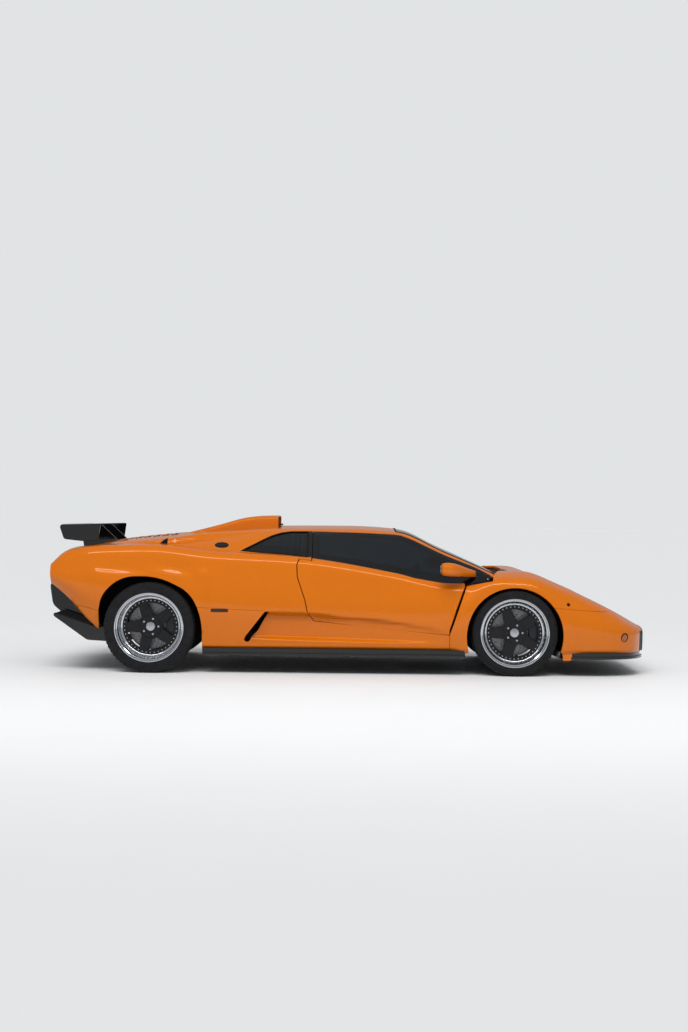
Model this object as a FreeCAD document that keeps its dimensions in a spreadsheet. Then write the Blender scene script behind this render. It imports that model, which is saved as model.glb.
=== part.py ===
import FreeCAD, Part
import Sketcher
import math
import os
import re

# Mid-engined supercar, nose towards +X, left side towards +Y, standing on z = 0.
# Driving dimensions, in millimetres and degrees: alias, value.

DIMENSIONS = [
    ("front_axle_x", 1215), ("wheelbase", 2650),
    ("front_track", 1650), ("rear_track", 1670),
    ("front_tyre_radius", 314), ("rear_tyre_radius", 329),
    ("front_tyre_width", 245), ("rear_tyre_width", 335),
    ("front_rim_width", 222), ("rear_rim_width", 322),
    ("rim_radius", 244), ("barrel_wall", 12), ("tyre_shoulder", 16),
    ("front_dish", 62), ("rear_dish", 132),
    ("wheel_face_thickness", 16),
    ("spoke_root_width", 76), ("spoke_tip_width", 54), ("spoke_count", 5),
    ("hub_pad_radius", 80), ("hub_pad_thickness", 64), ("cap_height", 6), ("hub_sides", 12),
    ("wheel_sides", 48),
    ("disc_radius", 170), ("disc_thickness", 30), ("disc_sides", 24),
    ("spindle_radius", 25), ("bearing_clearance", 0.3), ("upright_thickness", 30),
    ("upright_offset", 18), ("upright_half_height", 190), ("upright_width", 64),
    ("caliper_clearance", 6), ("caliper_height", 150),
    ("front_overhang", 985), ("rear_overhang", 730),
    ("panel_gap", 5), ("pillar_gap", 11), ("seat_gap", 0.3),
    ("skin_thickness", 24), ("glass_thickness", 8),
    ("front_arch_radius", 352), ("front_arch_drop", 22), ("front_well_reach", 395),
    ("front_well_inner_y", 535), ("well_headroom", 28), ("arch_lip_inner_y", 915), ("rear_well_inner_y", 648),
    ("door_inner_y", 870), ("door_hinge_x", 1020), ("door_hinge_z", 702),
    ("door_boss_radius", 13), ("door_pin_radius", 6), ("door_arm_inner_y", 806), ("door_arm_width", 40),
    ("sill_inner_y", 690), ("sill_top_z", 350),
    ("body_bottom_z", 183), ("floor_thickness", 30), ("floor_flange", 30),
    ("cabin_rear_x", -430), ("clip_split_x", 745), ("dash_x", 760),
    ("footwell_front_x", 1000), ("footwell_half_width", 495),
    ("lid_front_inset", 100), ("lid_rear_reach", 293),
    ("roof_z", 1076), ("scoop_width", 640), ("scoop_height", 74), ("scoop_wall", 8),
    ("wing_half_span", 760), ("wing_stay_y", 300), ("wing_stay_thickness", 14),
    ("end_plate_thickness", 10),
    ("trunk_half_width", 490), ("trunk_floor_z", 250),
    ("bay_half_width", 590), ("bay_mouth_half_width", 430), ("bay_front_inset", 50), ("bay_rear_reach", 255),
    ("engine_front_room", 140), ("engine_rear_room", 410), ("engine_width", 620), ("engine_height", 520),
    ("engine_mount_z", 230),
    ("seat_width", 470), ("seat_centre_y", 370),
    ("tail_lamp_radius", 56), ("tail_lamp_y", 640), ("tail_lamp_spacing", 140),
    ("exhaust_radius", 44), ("exhaust_wall", 4), ("exhaust_spacing", 105),
    ("steering_wheel_radius", 175),
    ("tow_bore_radius", 9), ("tow_bore_depth", 60), ("tow_bore_y", 480), ("tow_bore_z", 245),
]

doc = FreeCAD.newDocument("Supercar")
sheet = doc.addObject("Spreadsheet::Sheet", "Dimensions")
for row, (alias, value) in enumerate(DIMENSIONS, start=1):
    sheet.set(f"A{row}", alias)
    sheet.set(f"B{row}", str(value))
    sheet.setAlias(f"B{row}", alias)
doc.recompute()


class Sizes:
    """Reads the driving dimensions from the sheet by name."""

    def __getattr__(self, name):
        return float(sheet.get(name))


size = Sizes()
FAR = 3000.0
SIDES = {"left": 1, "right": -1}
rear_axle_x = size.front_axle_x - size.wheelbase
nose_x = size.front_axle_x + size.front_overhang
tail_x = rear_axle_x - size.rear_overhang
lid_front_x = size.cabin_rear_x - size.lid_front_inset
lid_rear_x = rear_axle_x - size.lid_rear_reach
bay_front_x = size.cabin_rear_x - size.bay_front_inset
bay_rear_x = rear_axle_x - size.bay_rear_reach
scoop_top_z = size.roof_z + size.scoop_height
gap = size.panel_gap
subparts = []


def vector(x, y, z):
    return FreeCAD.Vector(x, y, z)


def ahead(share):
    """The place at a share of the front overhang ahead of the front axle."""
    return size.front_axle_x + share * size.front_overhang


def behind(share):
    """The place at a share of the rear overhang behind the rear axle."""
    return rear_axle_x - share * size.rear_overhang


def over_engine(share):
    """The place at a share of the way from the rear axle to the back of the cabin."""
    return rear_axle_x + share * (size.cabin_rear_x - rear_axle_x)


def keep(label, shape):
    """A sub-part whose shape is worked out from the sheet's sizes."""
    feature = doc.addObject("Part::Feature", label)
    feature.Label = label
    feature.Shape = shape
    subparts.append(feature)
    return feature


# Outlines and sections


def rounded_wire(points, trims):
    """A closed outline through points, each corner an arc that starts trims[i] before it."""
    edges, starts, ends, mids = [], [], [], []
    count = len(points)
    for i, corner in enumerate(points):
        before = points[i - 1] - corner
        after = points[(i + 1) % count] - corner
        trim = min(trims[i], 0.48 * before.Length, 0.48 * after.Length)
        start = corner + before.normalize() * trim
        end = corner + after.normalize() * trim
        half = before.getAngle(after) / 2
        bisector = before + after
        radius = trim * math.tan(half)
        reach = trim / math.cos(half) - radius
        mids.append(corner + bisector.normalize() * reach)
        starts.append(start)
        ends.append(end)
    for i in range(count):
        edges.append(Part.Arc(starts[i], mids[i], ends[i]).toShape())
        following = starts[(i + 1) % count]
        edges.append(Part.LineSegment(ends[i], following).toShape())
    return Part.Wire(edges)


def polygon(points):
    return Part.makePolygon(points + [points[0]])


def bevelled_ring(points, trims):
    """The corners of an outline through points, each one cut off trims[i] before and after it."""
    ring, count = [], len(points)
    for i, corner in enumerate(points):
        before = points[i - 1] - corner
        after = points[(i + 1) % count] - corner
        trim = min(trims[i], 0.45 * before.Length, 0.45 * after.Length)
        ring.append(corner + before.normalize() * trim)
        ring.append(corner + after.normalize() * trim)
    return ring


def side_prism(outline, y_from, y_to, trim=0):
    """An outline of (x, z) pairs, drawn out along Y."""
    points = [vector(x, y_from, z) for x, z in outline]
    wire = rounded_wire(points, [trim] * len(points)) if trim else polygon(points)
    return Part.Face(wire).extrude(vector(0, y_to - y_from, 0))


def plan_prism(outline, z_from, z_to):
    """An outline of (x, y) pairs, drawn out along Z."""
    points = [vector(x, y, z_from) for x, y in outline]
    return Part.Face(polygon(points)).extrude(vector(0, 0, z_to - z_from))


def block(x_from, x_to, y_from, y_to, z_from, z_to):
    corner = vector(x_from, y_from, z_from)
    return Part.makeBox(x_to - x_from, y_to - y_from, z_to - z_from, corner)


def rod(radius, start, end):
    start, end = vector(*start), vector(*end)
    return Part.makeCylinder(radius, (end - start).Length, start, end - start)


def bar(width, start, end):
    """A square bar between two points."""
    start, end = vector(*start), vector(*end)
    piece = Part.makeBox(width, width, (end - start).Length, vector(-width / 2, -width / 2, 0))
    piece.Placement = FreeCAD.Placement(start, FreeCAD.Rotation(vector(0, 0, 1), end - start))
    return piece


def faceted_rod(radius, sides, start, end):
    """A prism with a regular outline, between two points."""
    start, end = vector(*start), vector(*end)
    corners = [vector(radius * math.cos(i * math.tau / sides), radius * math.sin(i * math.tau / sides), 0)
               for i in range(sides)]
    piece = Part.Face(polygon(corners)).extrude(vector(0, 0, (end - start).Length))
    piece.Placement = FreeCAD.Placement(start, FreeCAD.Rotation(vector(0, 0, 1), end - start))
    return piece


def mirrored(shape):
    """The same piece on the other side of the car."""
    return shape.mirror(vector(0, 0, 0), vector(0, 1, 0))


def both_sides(shape):
    return Part.makeCompound([shape, mirrored(shape)])


def grown(outline, distance):
    """A closed outline of pairs, moved outwards by distance on every side."""
    wire = polygon([vector(a, b, 0) for a, b in outline])
    bigger = wire.makeOffset2D(distance, 2)
    return [(corner.X, corner.Y) for corner in bigger.OrderedVertexes]


def whole_plan(half):
    """A half outline from the centre plane and back, completed on the other side."""
    return half + [(x, -y) for x, y in reversed(half) if y]


# Body sections from tail to nose, half of each, mirrored about the centre plane.
# Columns: x, sill y and z, waist y and z, shoulder y and z, deck y and z, crown z.

BODY_SECTIONS = [
    (tail_x, 880, 640, 925, 700, 900, 775, 600, 800, 806),
    (behind(0.856), 900, 560, 970, 660, 905, 872, 640, 888, 894),
    (behind(0.534), 900, 325, 1012, 600, 940, 912, 660, 922, 924),
    (rear_axle_x, 930, 200, 1020, 560, 948, 922, 660, 936, 936),
    (over_engine(0.433), 940, size.body_bottom_z, 1008, 500, 930, 878, 660, 905, 910),
    (size.cabin_rear_x + 75, 925, size.body_bottom_z, 968, 470, 895, 842, 660, 860, 866),
    (300, 915, size.body_bottom_z, 955, 450, 892, 748, 660, 765, 770),
    (820, 915, size.body_bottom_z, 962, 440, 925, 655, 700, 700, 705),
    (size.front_axle_x - 120, 925, 181, 972, 446, 942, 700, 720, 748, 738),
    (size.front_axle_x + 60, 930, 180, 978, 446, 942, 700, 720, 760, 738),
    (ahead(0.34), 925, 176, 962, 410, 905, 610, 660, 670, 658),
    (ahead(0.584), 905, 174, 935, 370, 868, 505, 620, 562, 566),
    (ahead(0.761), 860, 174, 885, 340, 820, 420, 600, 476, 486),
    (ahead(0.904), 760, 174, 780, 320, 730, 362, 540, 398, 412),
    (nose_x, 560, 178, 575, 310, 545, 334, 420, 348, 352),
]

# Cabin and engine cover sections. Columns: x, base y and z, roof edge y and z, crown z.

ROOF_SECTIONS = [
    (behind(0.856), 820, 780, 600, 866, 884),
    (behind(0.432), 870, 800, 640, 930, 958),
    (rear_axle_x, 890, 830, 690, 962, 1000),
    (over_engine(0.436), 895, 800, 630, 1000, 1040),
    (over_engine(0.898), 905, 760, 570, 1046, size.roof_z),
    (0, 905, 740, 560, 1052, size.roof_z + 5),
    (378, 912, 690, 575, 1032, 1062),
    (676, 915, 640, 662, 905, 936),
    (1062, 900, 580, 806, 738, 766),
    (1330, 700, 540, 620, 620, 640),
]


def flat_faces(a, b, c, d):
    """One flat face through four points, or two that meet on the diagonal that bulges outwards."""
    if abs((b - a).cross(c - a).dot(d - a)) < 1:
        return [Part.Face(polygon([a, b, c, d]))]
    if (b - a).cross(c - a).dot(d - a) < 0:
        triangles = ([a, b, c], [a, c, d])
    else:
        triangles = ([a, b, d], [b, c, d])
    return [Part.Face(polygon(triangle)) for triangle in triangles]


def loft(table, section):
    """A solid of flat facets through the section of each row."""
    rings = [section(row) for row in table]
    faces = [Part.Face(polygon(rings[0])), Part.Face(polygon(rings[-1]))]
    for ring, following in zip(rings, rings[1:]):
        for i in range(len(ring)):
            j = (i + 1) % len(ring)
            faces += flat_faces(ring[i], ring[j], following[j], following[i])
    shell = Part.Shell(faces)
    shell.sewShape()
    solid = Part.Solid(shell)
    if solid.Volume < 0:
        solid.reverse()
    return solid


def body_section(grow):
    """Lower body: sill, waist, shoulder, deck and crown, moved outwards by grow."""
    def section(row):
        x, sill_y, sill_z, waist_y, waist_z, edge_y, edge_z, deck_y, deck_z, crown_z = row
        half = [
            (sill_y + grow, sill_z - grow, 28),
            (waist_y + grow, waist_z, 90),
            (edge_y + grow, edge_z + grow, 60),
            (deck_y, deck_z + grow, 90),
        ]
        rim = half + [(0, crown_z + grow, 250)] + [(-y, z, trim) for y, z, trim in reversed(half)]
        points = [vector(x, y, z) for y, z, trim in rim]
        return bevelled_ring(points, [trim for y, z, trim in rim])
    return section


def roof_section(grow):
    """Upper body: base, roof edge and crown, moved outwards by grow."""
    def section(row):
        x, base_y, base_z, edge_y, edge_z, crown_z = row
        base_y = base_y + 1.4 * grow
        base_z = base_z - (5 if grow < 0 else 0)
        half = [(base_y, base_z, 10), (edge_y + grow, edge_z + grow, 70)]
        rim = half + [(0, crown_z + grow, 240)] + [(-y, z, trim) for y, z, trim in reversed(half)]
        points = [vector(x, y, z) for y, z, trim in rim]
        return bevelled_ring(points, [trim for y, z, trim in rim])
    return section


body_outer = loft(BODY_SECTIONS, body_section(0))
roof_outer = loft(ROOF_SECTIONS, roof_section(0))
roof_inner = loft(ROOF_SECTIONS, roof_section(-size.skin_thickness))
glass_inner = loft(ROOF_SECTIONS, roof_section(-size.glass_thickness))

# Side outlines of (x, z).

DOOR_OUTLINE = [
    (-246, 378), (-292, 445), (-311, 536), (-369, 703), (-374, 841), (-374, 1200),
    (1048, 1200), (1048, 690), (854, 657), (734, 290),
]
DOOR_WINDOW = [(-340, 868), (-340, 1200), (1120, 1200), (985, 750), (840, 712), (560, 744)]
rear_x = size.cabin_rear_x
QUARTER_WINDOW = [(rear_x + 30, 880), (rear_x + 30, 1028), (rear_x - 210, 1012), (rear_x - 335, 915)]
SILL_REGION = [(size.clip_split_x, 0), (size.clip_split_x, 385), (-292, 447), (rear_axle_x + 315, 482),
               (rear_axle_x + 315, 0)]
SILL_SCOOP = [(rear_x - 170, 455), (rear_x - 130, 455), (rear_x - 210, 300), (rear_x - 290, 215),
              (rear_x - 315, 225), (rear_x - 315, 262)]
REAR_ARCH = [(-369, -400), (-369, 215), (-208, 368), (62, 372), (300, 255), (382, 70), (382, -400)]
DOOR_ARM = [
    (size.door_hinge_x, size.door_hinge_z + size.door_boss_radius), (840, 712), (840, 664),
    (size.door_hinge_x, size.door_hinge_z - size.door_boss_radius),
]
BONNET_SEAT = [(size.front_axle_x - 215, 718), (size.front_axle_x, 712), (ahead(0.34), 622),
               (ahead(0.584), 525), (ahead(0.761), 438), (ahead(0.878), 360)]
LID_SEAT = [(rear_x - 10, 1042), (over_engine(0.632), 1008), (over_engine(0.433), 982), (rear_axle_x, 938),
            (behind(0.5), 903)]

# Plan outlines of (x, y), left half.

DOOR_PLAN = [(-900, 572), (378, 582), (676, 668), (1062, 812), (1062, 1300), (-900, 1300)]
WINDSCREEN_PLAN = [(352, 0), (352, 520), (640, 600), (1150, 780), (1230, 0)]
BONNET_PLAN = [(size.front_axle_x + 20, 0), (size.front_axle_x - 35, 640), (ahead(0.756), 560),
               (ahead(0.807), 0)]
LID_PLAN = [(lid_front_x, 0), (lid_front_x, 450), (over_engine(0.333), 500), (lid_rear_x, 560),
            (lid_rear_x, 0)]
HEADLAMP_PLAN = [(ahead(0.452), 620), (ahead(0.482), 800), (ahead(0.645), 770), (ahead(0.655), 610)]
HEADLAMP_BED = [(ahead(0.289), 560), (ahead(0.695), 400)]


def under_line(line, floor_z):
    """A side outline below a line of (x, z) pairs."""
    return line + [(line[-1][0], floor_z), (line[0][0], floor_z)]


# Wheel wells and arches

front_axle_z, rear_axle_z = size.front_tyre_radius, size.rear_tyre_radius
well_top = size.front_tyre_radius + size.well_headroom
reach = size.front_well_reach
front_well_outline = [(-reach, -400), (-reach, 90), (65 - reach, 250), (205 - reach, well_top),
                      (reach - 205, well_top), (reach - 65, 250), (reach, 90), (reach, -400)]
front_well = side_prism([(size.front_axle_x + x, front_axle_z + z) for x, z in front_well_outline],
                        size.front_well_inner_y, size.arch_lip_inner_y)
arch_z = front_axle_z - size.front_arch_drop
ARCH_SIDES = 30
front_arch = faceted_rod(size.front_arch_radius, ARCH_SIDES,
                         (size.front_axle_x, size.front_well_inner_y, arch_z),
                         (size.front_axle_x, FAR, arch_z))
rear_arch_outline = [(rear_axle_x + x, rear_axle_z + z) for x, z in REAR_ARCH]
rear_well = Part.Face(polygon(bevelled_ring(
    [vector(x, size.rear_well_inner_y, z) for x, z in rear_arch_outline], [110] * len(REAR_ARCH))))
rear_well = rear_well.extrude(vector(0, FAR, 0))

# Spaces of the doors, hinges, cabin, engine bay, trunk and lids

door_side = side_prism(DOOR_OUTLINE, 400, FAR)
door_side_void = side_prism(grown(DOOR_OUTLINE, gap), 400, FAR)
door_plan = plan_prism(DOOR_PLAN, 0, FAR)
door_plan_void = plan_prism(grown(DOOR_PLAN, size.pillar_gap), 0, FAR)
arm_outer_y = size.door_arm_inner_y + size.door_arm_width
outside_doors = block(-FAR, FAR, size.door_inner_y - gap, FAR, 0, FAR)
lower_door_void = door_side_void.common(outside_doors)
arm_slot_outline = [(size.door_hinge_x, 900), (820, 900), (820, 650)] + [DOOR_ARM[3]]
pocket = 1.42 * size.door_boss_radius + gap
hinge_pocket = block(size.door_hinge_x - pocket, size.door_hinge_x + pocket,
                     size.door_arm_inner_y - gap, arm_outer_y + gap,
                     size.door_hinge_z - pocket, size.door_hinge_z + pocket)
pin_socket = rod(size.door_pin_radius + size.seat_gap,
                 (size.door_hinge_x, size.door_arm_inner_y - 3 * gap, size.door_hinge_z),
                 (size.door_hinge_x, arm_outer_y, size.door_hinge_z))
door_corner = block(size.dash_x - 2 * gap, DOOR_OUTLINE[8][0] + gap, size.door_arm_inner_y - gap,
                    size.door_inner_y, 600, FAR)
arm_slot = side_prism(grown(arm_slot_outline, gap), size.door_arm_inner_y - gap, arm_outer_y + gap)

cabin_low = block(size.cabin_rear_x, size.dash_x + 40, -size.sill_inner_y, size.sill_inner_y, 0, FAR)
footwell = block(size.dash_x, size.footwell_front_x,
                 -size.footwell_half_width, size.footwell_half_width, 0, FAR)
cabin_high = block(size.cabin_rear_x, size.dash_x, -size.door_inner_y, size.door_inner_y,
                   size.sill_top_z, FAR)
engine_bay = block(bay_rear_x, bay_front_x,
                   -size.bay_half_width, size.bay_half_width, 0, 850)
bay_mouth = block(bay_rear_x, bay_front_x,
                  -size.bay_mouth_half_width, size.bay_mouth_half_width, 800, FAR)
front_trunk = block(size.front_axle_x + 115, ahead(0.695),
                    -size.trunk_half_width, size.trunk_half_width, size.trunk_floor_z, FAR)
TAIL_PANEL = (-770, 770, 655, 772)
tail_recess = block(tail_x - 10, tail_x + 60, *TAIL_PANEL)

lid_void = plan_prism(grown(whole_plan(LID_PLAN), gap), 700, FAR)
lid_void = lid_void.cut(side_prism(under_line(
    [(x, z - size.seat_gap) for x, z in LID_SEAT], 600), -FAR, FAR))
bonnet_void = plan_prism(grown(whole_plan(BONNET_PLAN), gap), 300, FAR)
bonnet_void = bonnet_void.cut(side_prism(under_line(
    [(x, z - size.seat_gap) for x, z in BONNET_SEAT], 200), -FAR, FAR))
headlamp_bed = side_prism(under_line(HEADLAMP_BED, 100), -FAR, FAR)
headlamp_void = plan_prism(HEADLAMP_PLAN, 200, FAR).cut(headlamp_bed)
sill_scoop = side_prism(SILL_SCOOP, 850, FAR)
mouth = block(nose_x - 140, FAR, -430, 430, 205, 285)

lower = body_outer.cut([
    both_sides(front_well), both_sides(front_arch), both_sides(rear_well),
    cabin_low, footwell, cabin_high, both_sides(lower_door_void),
    both_sides(hinge_pocket), both_sides(arm_slot), both_sides(pin_socket), both_sides(door_corner),
])
sill_region = both_sides(side_prism(SILL_REGION, size.bay_half_width + 40, FAR))
front_half = block(size.clip_split_x, FAR, -FAR, FAR, 0, FAR)

# Fixed body

tow_bore = rod(size.tow_bore_radius, (nose_x - size.tow_bore_depth, size.tow_bore_y, size.tow_bore_z),
               (nose_x, size.tow_bore_y, size.tow_bore_z))
keep("front_clip", lower.common(front_half).cut([
    sill_region, bonnet_void, front_trunk, mouth, both_sides(headlamp_void), both_sides(tow_bore)]))
keep("side_sills", lower.common(sill_region).cut(both_sides(sill_scoop)))

rear_roof_x = rear_x - 370
roof_fixed = roof_outer.cut(roof_inner).common(block(rear_roof_x, 1300, -FAR, FAR, 0, FAR))
roof_fixed = roof_fixed.cut([body_outer, both_sides(door_side_void.common(door_plan_void)),
                             lid_void])
windscreen_prism = plan_prism(whole_plan(WINDSCREEN_PLAN), 500, FAR)
quarter_prism = side_prism(QUARTER_WINDOW, -FAR, FAR)
glass_shell = roof_outer.cut(glass_inner)
keep("roof_frame", roof_fixed.cut([windscreen_prism, quarter_prism]))
keep("windscreen", glass_shell.common(windscreen_prism).cut(body_outer))
keep("quarter_windows", glass_shell.common(quarter_prism).cut(body_outer))
rear_pane = block(size.cabin_rear_x - 12, size.cabin_rear_x - 4, -560, 560, 700, FAR)
keep("rear_window", rear_pane.common(roof_inner).cut(body_outer))

rear_top = roof_outer.common(block(-FAR, rear_roof_x, -FAR, FAR, 0, FAR))
rear_lower = lower.cut([front_half, sill_region])
keep("rear_clip", rear_lower.fuse(rear_top).cut([
    lid_void, engine_bay, bay_mouth, tail_recess]).removeSplitter())

# Bonnet and engine lid with its scoop

bonnet_under = side_prism(under_line(BONNET_SEAT, 100), -FAR, FAR)
keep("bonnet", body_outer.common(plan_prism(whole_plan(BONNET_PLAN), 300, FAR)).cut(bonnet_under))
lid_under = side_prism(under_line(LID_SEAT, 600), -FAR, FAR)
lid = roof_outer.common(plan_prism(whole_plan(LID_PLAN), 700, FAR)).cut(lid_under)
SLOTS = 6
slot_pitch, slot_length = 68, 34
slots = []
for i in range(SLOTS):
    slot_x = rear_axle_x + 145 - i * slot_pitch
    slots.append(block(slot_x - slot_length, slot_x, -370, 370, 800, FAR))
lid = lid.cut(slots)
keep("engine_lid", lid)

scoop_mouth_x, scoop_back_x, scoop_tail_x = lid_front_x - 3, lid_front_x - 230, over_engine(0.206)
SCOOP_SIDE = [(scoop_mouth_x, 900), (scoop_mouth_x, scoop_top_z), (scoop_back_x, scoop_top_z - 4),
              (scoop_tail_x, 1010), (scoop_tail_x, 900)]
scoop_half = size.scoop_width / 2
scoop_outer = side_prism(SCOOP_SIDE, -scoop_half, scoop_half)
wall = size.scoop_wall
duct_tail_x = scoop_tail_x + 98
scoop_inner = side_prism([(lid_front_x + 30, 900), (lid_front_x + 30, scoop_top_z - wall),
                          (scoop_back_x, scoop_top_z - 4 - wall), (duct_tail_x, 1035), (duct_tail_x, 900)],
                         -scoop_half + wall, scoop_half - wall)
keep("roof_scoop", scoop_outer.cut([scoop_inner, roof_outer]))

# Doors

body_clear = loft(BODY_SECTIONS[6:11], body_section(gap))
door_top = roof_outer.cut(roof_inner).common(door_side).common(door_plan)
ahead_of_door = side_prism([(854, 0), (854, 1200), (1300, 1200), (1300, 0)], 0, FAR)
door_top = door_top.cut(body_clear.common(ahead_of_door))
door_low = body_outer.common(door_side).common(block(-FAR, FAR, size.door_inner_y, FAR, 0, FAR))
door_low = door_low.cut(ahead_of_door)
window_plan = plan_prism([(x, y + 24) for x, y in DOOR_PLAN], 0, FAR)
window_tool = side_prism(DOOR_WINDOW, 400, FAR).common(window_plan)
door_arm = side_prism(DOOR_ARM, size.door_arm_inner_y, arm_outer_y)
boss = size.door_boss_radius
door_boss = block(size.door_hinge_x - boss, size.door_hinge_x + boss, size.door_arm_inner_y, arm_outer_y,
                  size.door_hinge_z - boss, size.door_hinge_z + boss)
door_pin = rod(size.door_pin_radius,
               (size.door_hinge_x, size.door_arm_inner_y - 3 * gap, size.door_hinge_z),
               (size.door_hinge_x, arm_outer_y, size.door_hinge_z))
pin_hole = rod(size.door_pin_radius + size.seat_gap,
               (size.door_hinge_x, size.door_arm_inner_y - 2 * gap, size.door_hinge_z),
               (size.door_hinge_x, arm_outer_y + gap, size.door_hinge_z))
door_panel = door_low.fuse([door_top.cut(window_tool), door_arm, door_boss]).cut(pin_hole)
door_glass = glass_shell.common(window_tool).cut([door_panel, body_outer])

# Columns: x, inner y, outer y, low z, high z.
MIRROR_SECTIONS = [
    (662, 945, 1070, 724, 826), (735, 925, 1075, 718, 826), (800, 895, 1040, 716, 808),
    (870, 840, 925, 712, 788), (940, 808, 845, 706, 776),
]


def mirror_section(row):
    x, inner_y, outer_y, low_z, high_z = row
    corners = [(inner_y, low_z), (outer_y, low_z), (outer_y, high_z), (inner_y, high_z)]
    return bevelled_ring([vector(x, y, z) for y, z in corners], [18] * 4)


door_mirror = loft(MIRROR_SECTIONS, mirror_section).cut([door_panel, door_glass])
for side, sign in SIDES.items():
    for name, shape in (("panel", door_panel), ("glass", door_glass), ("mirror", door_mirror)):
        keep(f"door_{side}_{name}", shape if sign > 0 else mirrored(shape))
keep("door_hinges", both_sides(door_pin))

# Black trim: splitter, skirts, diffuser, wing

splitter_plan = [(ahead(0.289), 0), (ahead(0.35), 905), (ahead(0.584), 930), (ahead(0.761), 882),
                 (ahead(0.904), 780), (nose_x + 5, 590), (nose_x + 15, 0)]
splitter = plan_prism(whole_plan(splitter_plan), 128, 182)
keep("front_splitter", splitter.cut([body_outer, both_sides(front_arch), both_sides(front_well)]))
skirt_rear_x, skirt_front_x = rear_axle_x + 375, size.front_axle_x - 355
skirt = plan_prism([(skirt_rear_x, 860), (skirt_rear_x, 962), (skirt_front_x, 945), (skirt_front_x, 860)],
                   132, 190)
keep("side_skirts", both_sides(skirt.cut([body_outer, front_arch, front_well, rear_well])))

# Side outlines behind the car. Columns: distance ahead of the tail, z.

DIFFUSER_SIDE = [(465, 190), (465, 330), (333, 326), (25, 425), (15, 398), (265, 222)]
VALANCE_SIDE = [(265, 330), (265, 400), (105, 590), (2, 660), (-50, 620), (-25, 470), (45, 410)]
TUNNEL_SIDE = [(515, 100), (375, 225), (-135, 420), (-135, 100)]
WING_SIDE = [(301, 972), (299, 956), (230, 952), (135, 990), (58, 1060), (61, 1068), (135, 1022), (230, 990)]
END_PLATE_SIDE = [(315, 940), (315, 985), (75, 1075), (50, 1072), (70, 985), (225, 935)]
STAY_SIDE = [(408, 900), (279, 1000), (125, 1010), (155, 860)]
EXHAUST_SIDES = 10


def tail_prism(outline, y_from, y_to):
    return side_prism([(tail_x + x, z) for x, z in outline], y_from, y_to)


diffuser = tail_prism(DIFFUSER_SIDE, -870, 870).fuse(tail_prism(VALANCE_SIDE, -600, 600))
tunnel = tail_prism(TUNNEL_SIDE, -105, 105)
tunnels = [tunnel.translated(vector(0, y, 0)) for y in (-600, -360, -120, 120, 360, 600)]
exhaust_holes, exhaust_pipes = [], []
for i in (-1.5, -0.5, 0.5, 1.5):
    y = i * size.exhaust_spacing
    start, end = (tail_x + 45, y, 505), (tail_x - 48, y, 500)
    pipe = faceted_rod(size.exhaust_radius, EXHAUST_SIDES, start, end)
    exhaust_holes.append(faceted_rod(size.exhaust_radius + size.seat_gap, EXHAUST_SIDES, start, end))
    bore = faceted_rod(size.exhaust_radius - size.exhaust_wall, EXHAUST_SIDES, start, end)
    exhaust_pipes.append(pipe.cut(bore))
keep("rear_diffuser", diffuser.cut([body_outer, both_sides(rear_well)] + tunnels + exhaust_holes))
keep("exhaust_tips", Part.makeCompound(exhaust_pipes))

wing_plane = tail_prism(WING_SIDE, -size.wing_half_span, size.wing_half_span)
end_plate = tail_prism(END_PLATE_SIDE, size.wing_half_span, size.wing_half_span + size.end_plate_thickness)
stay = tail_prism(STAY_SIDE, size.wing_stay_y - size.wing_stay_thickness / 2,
                  size.wing_stay_y + size.wing_stay_thickness / 2)
stays = both_sides(stay).cut([wing_plane, body_outer, rear_top])
keep("rear_wing", wing_plane.fuse([both_sides(end_plate), stays]))

# Lamps and tail panel

headlamp = plan_prism(HEADLAMP_PLAN, 200, FAR).common(body_outer)
keep("headlamps", both_sides(headlamp.cut(headlamp_bed)))
tail_panel = block(tail_x + 30, tail_x + 60, *TAIL_PANEL)
LAMP_SIDES = 14
lamp_z = (TAIL_PANEL[2] + TAIL_PANEL[3]) / 2
lamps = []
for sign in SIDES.values():
    for i in (0, 1):
        y = sign * (size.tail_lamp_y - i * size.tail_lamp_spacing)
        lamps.append(faceted_rod(size.tail_lamp_radius, LAMP_SIDES,
                                 (tail_x + 30, y, lamp_z), (tail_x + 4, y, lamp_z)))
keep("tail_grille", tail_panel)
keep("tail_lamps", Part.makeCompound(lamps))

# Cabin: floor, dashboard, steering wheel, seats


def bound_box(label, x, y, z, length, width, height):
    """A plain box whose place and size are expressions in the sheet's names."""
    item = doc.addObject("Part::Box", label)
    item.Label = label
    for prop, text in (("Length", length), ("Width", width), ("Height", height)):
        item.setExpression(prop, text)
    for prop, text in (("x", x), ("y", y), ("z", z)):
        item.setExpression(f".Placement.Base.{prop}", text)
    subparts.append(item)
    return item


bound_box("floor_pan", "Dimensions.cabin_rear_x", "-Dimensions.sill_inner_y - Dimensions.floor_flange",
          "Dimensions.body_bottom_z - Dimensions.seat_gap - Dimensions.floor_thickness",
          "Dimensions.dash_x + 40 - Dimensions.cabin_rear_x",
          "2 * (Dimensions.sill_inner_y + Dimensions.floor_flange)", "Dimensions.floor_thickness")
floor_top = size.body_bottom_z - size.seat_gap

DASH_SIDE = [(640, 560), (650, 640), (720, 690), (900, 690), (900, 560), (800, 480), (700, 500)]
dashboard = side_prism(DASH_SIDE, -size.footwell_half_width, size.footwell_half_width)
keep("dashboard", dashboard.cut(roof_outer.cut(roof_inner)))

SEAT_SIDE = [(380, floor_top), (400, 330), (360, 350), (0, 300), (-40, 320), (-250, 830), (-310, 940),
             (-360, 930), (-330, 780), (-120, 230), (-100, floor_top)]
seat = side_prism(SEAT_SIDE, size.seat_centre_y - size.seat_width / 2,
                  size.seat_centre_y + size.seat_width / 2)
keep("seats", both_sides(seat))

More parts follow.
